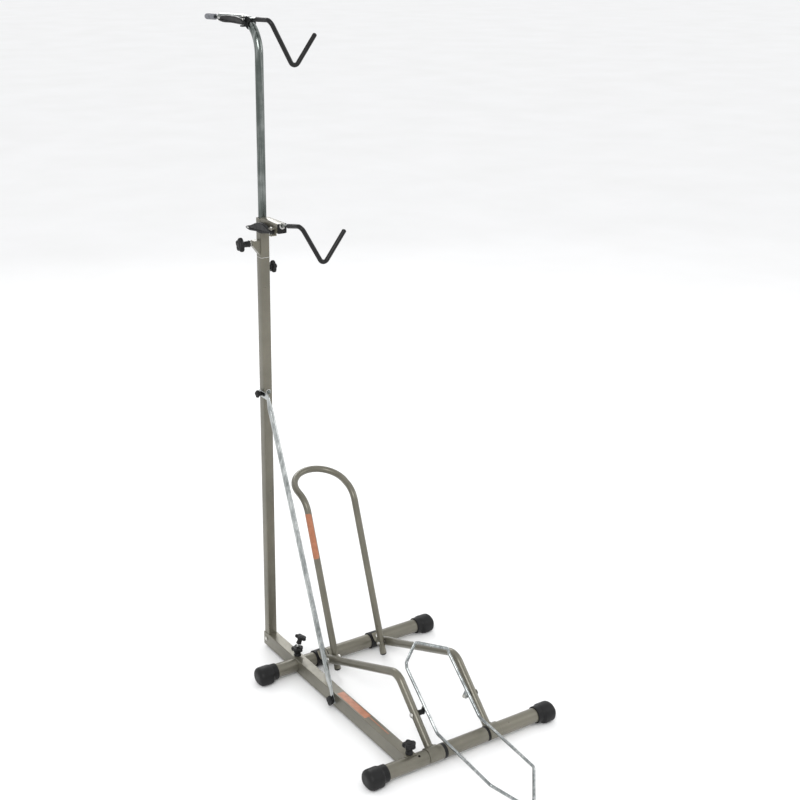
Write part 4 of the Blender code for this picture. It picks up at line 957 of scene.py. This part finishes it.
# ---- small fittings
def dome_nut(name, body, base, axis, across, height):
    """A washer, a chamfered hexagon and a dome."""
    place = frame_along(axis, base)
    disc = [(across * 0.62, 0), (across * 0.66, 0.0003), (across * 0.66, 0.0009)]
    disc += [(across * 0.62, 0.0012), (across * 0.2, 0.0012)]
    piece(name + "_washer", turned(disc, place, 32), "zinc_fastener", body)
    sides = 48

    def ring(size, h, hexed):
        points = []
        for i in range(sides):
            a = 2 * math.pi * i / sides
            sector = (a % (math.pi / 3)) - math.pi / 6
            flat = math.cos(math.pi / 6) / math.cos(sector)
            r = size * (1 + (flat - 1) * hexed)
            points.append(place @ Vector((r * math.cos(a), r * math.sin(a), h)))
        return points

    h = height * 0.45
    rings = [
        ring(across * 0.55, 0.0012, 0.6), ring(across * 0.575, 0.0016, 1),
        ring(across * 0.575, h - 0.0003, 1), ring(across * 0.52, h, 0.5),
        ring(across * 0.46, h + 0.0001, 0),
    ]
    for i in range(1, 8):
        a = math.pi / 2 * i / 7.5
        rings.append(ring(across * 0.46 * math.cos(a), h + (height - h) * math.sin(a), 0))
    piece(name, loft(rings), "chrome_plate", body, slot="zinc_fastener", smooth=28)


NUT_SEAT = at(BEAM_X, MAST_Y - MAST_HALF - 0.0001, 0.7760)
dome_nut("mast_dome_nut", "stand", NUT_SEAT, FORWARD, 0.0105, 0.0085)


def washer(name, body, centre, axis, outer, inner, thick):
    """A flat ring with a small chamfer."""
    place = frame_along(axis, centre)
    edge = 0.0002
    profile = [(inner, 0), (outer - edge, 0), (outer, edge)]
    profile += [(outer, thick - edge), (outer - edge, thick), (inner, thick)]
    piece(name, turned(profile, place, 32, loop=True), "zinc_fastener", body)


PLUG_FACE = at(BEAM_X, STUB_FRONT - 0.0040, 1.2402)
washer("stub_plug_washer", "carriage", PLUG_FACE, FORWARD, 0.0085, 0.0047, 0.0010)


BOLT_HEAD_RADIUS = 0.0062


def socket_head(name, centre, axis, height):
    """A round button head with a round recess, over the plain head of the frame."""
    radius = BOLT_HEAD_RADIUS
    flange, crown = radius + 0.0009, radius + 0.0002
    profile = [(radius + 0.0006, -0.0002), (flange, 0.0002), (flange, 0.0008), (radius + 0.0003, 0.0010)]
    profile += [(crown, 0.0012)]
    for i in range(1, 8):
        a = math.pi / 2 * i / 9
        profile.append((crown * math.cos(a), 0.0012 + (height - 0.0008) * math.sin(a)))
    profile += [(radius * 0.34, height + 0.0003), (radius * 0.32, height - 0.0012)]
    profile.append((radius * 0.05, height - 0.0013))
    head = turned(profile, frame_along(axis, centre), 36)
    piece(name + "_head", head, "zinc_fastener", "stand")


for label, side in SIDES:
    hoop_seat = at(side * (RAIL_X + 0.0095), *CROSSING)
    socket_head("hoop_bolt_" + label, hoop_seat, (side, 0, 0), 0.0036)
    pivot_seat = at(side * (RAIL_X + RAIL_RADIUS + GAP), *PIVOT)
    socket_head("cradle_pivot_bolt_" + label, pivot_seat, (side, 0, 0), 0.0036)
    rail_seat = at(side * RAIL_X, REAR_FOOT, FOOT_HEIGHT) + TAB_OUTWARD * (FOOT_RADIUS + 0.0091)
    socket_head("rail_rear_bolt_" + label, rail_seat, TAB_OUTWARD, 0.0035)


def bead_between(name, body, start, end, size):
    """A short run of weld with its ripples."""
    start, end = Vector(start), Vector(end)
    count = max(6, round((end - start).length / 0.0011))
    path = [start.lerp(end, i / count) for i in range(count + 1)]
    frames = frames_on(path, (0, 0.3, 1))
    sizes = [size * (0.80 + 0.20 * math.sin(2.3 * i) if 0 < i < count else 0.35) for i in range(count + 1)]
    piece(name, loft(swept(frames, sizes, sizes, 10)), "weld_metal", body, slot="olive_paint", smooth=60)


STUB_LOW, STUB_WELD_TOP = 1.2205, 1.2412
STUB_FACE_Y = MAST_Y - MAST_HALF - 0.0002
for label, side in SIDES:
    x = BEAM_X + side * (MAST_HALF - 0.0004)
    low_end, high_end = at(x, STUB_FACE_Y, STUB_LOW + 0.001), at(x, STUB_FACE_Y, STUB_WELD_TOP)
    bead_between("stub_weld_" + label, "carriage", low_end, high_end, 0.0013)
left_end, right_end = (at(BEAM_X + dx, STUB_FACE_Y, STUB_LOW) for dx in (-0.011, 0.011))
bead_between("stub_weld_under", "carriage", left_end, right_end, 0.0013)
GUSSET_X = BEAM_X - MAST_HALF - 0.0003
for label, dy in (("front", -0.0087), ("rear", 0.0087)):
    low_end, high_end = (at(GUSSET_X, MAST_Y + dy, z) for z in (1.1480, 1.1855))
    bead_between("gusset_weld_" + label, "carriage", low_end, high_end, 0.0010)


def square_bright_ring(name, z, half, thick, high):
    """A thin square ring with rounded corners round the mast, bright as a painted highlight."""
    corner = 0.002

    def ring(size, height):
        points = []
        for quarter in range(4):
            turn = quarter * math.pi / 2
            c, s = math.cos(turn), math.sin(turn)
            for i in range(5):
                a = turn + math.pi / 8 * i
                px = (size - corner) * (c - s) + corner * math.cos(a)
                py = (size - corner) * (s + c) + corner * math.sin(a)
                points.append(at(BEAM_X + px, MAST_Y + py, z + height))
        return points

    rings = [ring(half, 0), ring(half + thick, 0), ring(half + thick, high), ring(half, high)]
    piece(name, loft(rings, loop=True), "zinc_fastener", "stand")


# A bright ring at the seam on the mast's top: a painted highlight along the seam.
square_bright_ring("mast_seam_highlight_ring", MAST_TOP - 0.0013, MAST_HALF + 0.00002, 0.0003, 0.0012)


# ---- plain orange strips
FILM_GAP = 0.00004


def wrap(name, start, end, radius, facing, spread, thick=0.00022, soft=0.18):
    """A strip of film wrapped round a tube, with its corners cut round."""
    start, end = Vector(start), Vector(end)
    along = (end - start).normalized()
    facing = (Vector(facing) - along * along.dot(Vector(facing))).normalized()
    across = along.cross(facing)
    rows, columns = 30, 18
    length = (end - start).length
    made = bmesh.new()
    layers = []
    for r in (radius + FILM_GAP, radius + FILM_GAP + thick):
        grid = []
        for i in range(rows + 1):
            t = i / rows
            edge = min(t, 1 - t) * length
            corner = spread * soft
            near = max(0.0, 1 - edge / (corner * radius))
            half = spread / 2 - corner * (1 - math.sqrt(max(0.0, 1 - near * near)))
            row = []
            for j in range(columns + 1):
                a = half * (2 * j / columns - 1)
                outward = facing * math.cos(a) + across * math.sin(a)
                row.append(made.verts.new(start + along * length * t + outward * r))
            grid.append(row)
        layers.append(grid)
    inner, outer = layers
    for i in range(rows):
        for j in range(columns):
            made.faces.new((outer[i][j], outer[i][j + 1], outer[i + 1][j + 1], outer[i + 1][j]))
            made.faces.new((inner[i][j], inner[i + 1][j], inner[i + 1][j + 1], inner[i][j + 1]))
    for i in range(rows):
        for j in (0, columns):
            made.faces.new((inner[i][j], outer[i][j], outer[i + 1][j], inner[i + 1][j]))
    for j in range(columns):
        for i in (0, rows):
            made.faces.new((inner[i][j], inner[i][j + 1], outer[i][j + 1], outer[i][j]))
    piece(name, made, "orange_film", "stand", slot=None)


wrap("hoop_orange_strip", leg_at(0.310), leg_at(0.428), HOOP_RADIUS, (-0.75, -0.66, 0.1), math.radians(150))


def flat_strip(name, x, low_y, high_y, half_width, z, corner, thick=0.00025):
    """A strip of film on a flat face, with round corners."""
    left, right = x - half_width + corner, x + half_width - corner
    low, high = low_y + corner, high_y - corner
    outline = []
    for cx, cy, start in ((right, high, 0), (left, high, 90), (left, low, 180), (right, low, 270)):
        for i in range(7):
            a = math.radians(start + 90 * i / 6)
            outline.append((cx + corner * math.cos(a), cy + corner * math.sin(a)))
    rings = [[at(px, py, z + h) for px, py in outline] for h in (0.00003, thick)]
    piece(name, loft(rings), "orange_film", "stand", slot=None)


flat_strip("beam_orange_strip", BEAM_X, 0.193, 0.326, 0.0098, BEAM_TOP, 0.0022)
flat_strip("beam_orange_line", BEAM_X + 0.0035, 0.104, 0.1915, 0.0013, BEAM_TOP, 0.0011)

# ---- carried-over frame nodes
SHOWN_LOOK = {row["node"]: row["material_slot"] for row in frame["record"]["subparts"]}
for node_name, node in frame["nodes"].items():
    node.data.materials.clear()
    node.data.materials.append(MATERIALS[SHOWN_LOOK[node_name]])
    node.data.shade_smooth()
    weld = node.modifiers.new("weld", "WELD")
    weld.merge_threshold = 0.00002
    split = node.modifiers.new("edges", "EDGE_SPLIT")
    split.split_angle = math.radians(33)

# ---- floor, light and camera
floor_mesh = bmesh.new()
bmesh.ops.create_grid(floor_mesh, x_segments=2, y_segments=2, size=60)
floor = new_object("floor", new_mesh("floor", floor_mesh))
floor.location.z = -0.0004
floor_look = Look("pale_floor", specular=0.2)
floor_stops = [(0.3, (0.90, 0.90, 0.895)), (0.7, (0.93, 0.93, 0.93))]
floor_tone = floor_look.ramp(floor_look.noise(1.5, 3), floor_stops)
floor.data.materials.append(floor_look.done(floor_tone, floor_look.spread(floor_look.noise(8, 3), 0.75, 0.9)))

world = bpy.data.worlds.new("studio")
bpy.context.scene.world = world
world.use_nodes = True
world.node_tree.nodes["Background"].inputs["Color"].default_value = (0.985, 0.99, 1.0, 1.0)
world.node_tree.nodes["Background"].inputs["Strength"].default_value = 1.0
bpy.context.scene.view_settings.view_transform = "Standard"


def area_light(name, location, target, size, power):
    data = bpy.data.lights.new(name, "AREA")
    data.shape = "RECTANGLE"
    data.size, data.size_y = size
    data.energy = power
    obj = new_object(name, data)
    obj.location = location
    obj.rotation_euler = (Vector(target) - Vector(location)).to_track_quat("-Z", "Y").to_euler()


area_light("key", (-2.2, -2.4, 3.2), (0, 0, 0.6), (1.6, 1.6), 62)
area_light("fill", (3.2, -1.6, 2.2), (0, 0, 0.7), (2.0, 2.0), 22)
area_light("rim", (1.2, 3.4, 2.8), (0, 0, 0.9), (1.5, 1.5), 34)

camera_data = bpy.data.cameras.new("photo_camera")
camera_data.sensor_width = 36
camera_data.lens = 59.82
camera_data.shift_x = 0.0753
camera_data.clip_start, camera_data.clip_end = 0.05, 60
camera = new_object("photo_camera", camera_data)
camera.location = (-1.7522, -2.5706, 1.9792)
camera.rotation_euler = (math.radians(69.67), 0, math.radians(-32.07))
bpy.context.scene.camera = camera

bpy.context.view_layer.update()
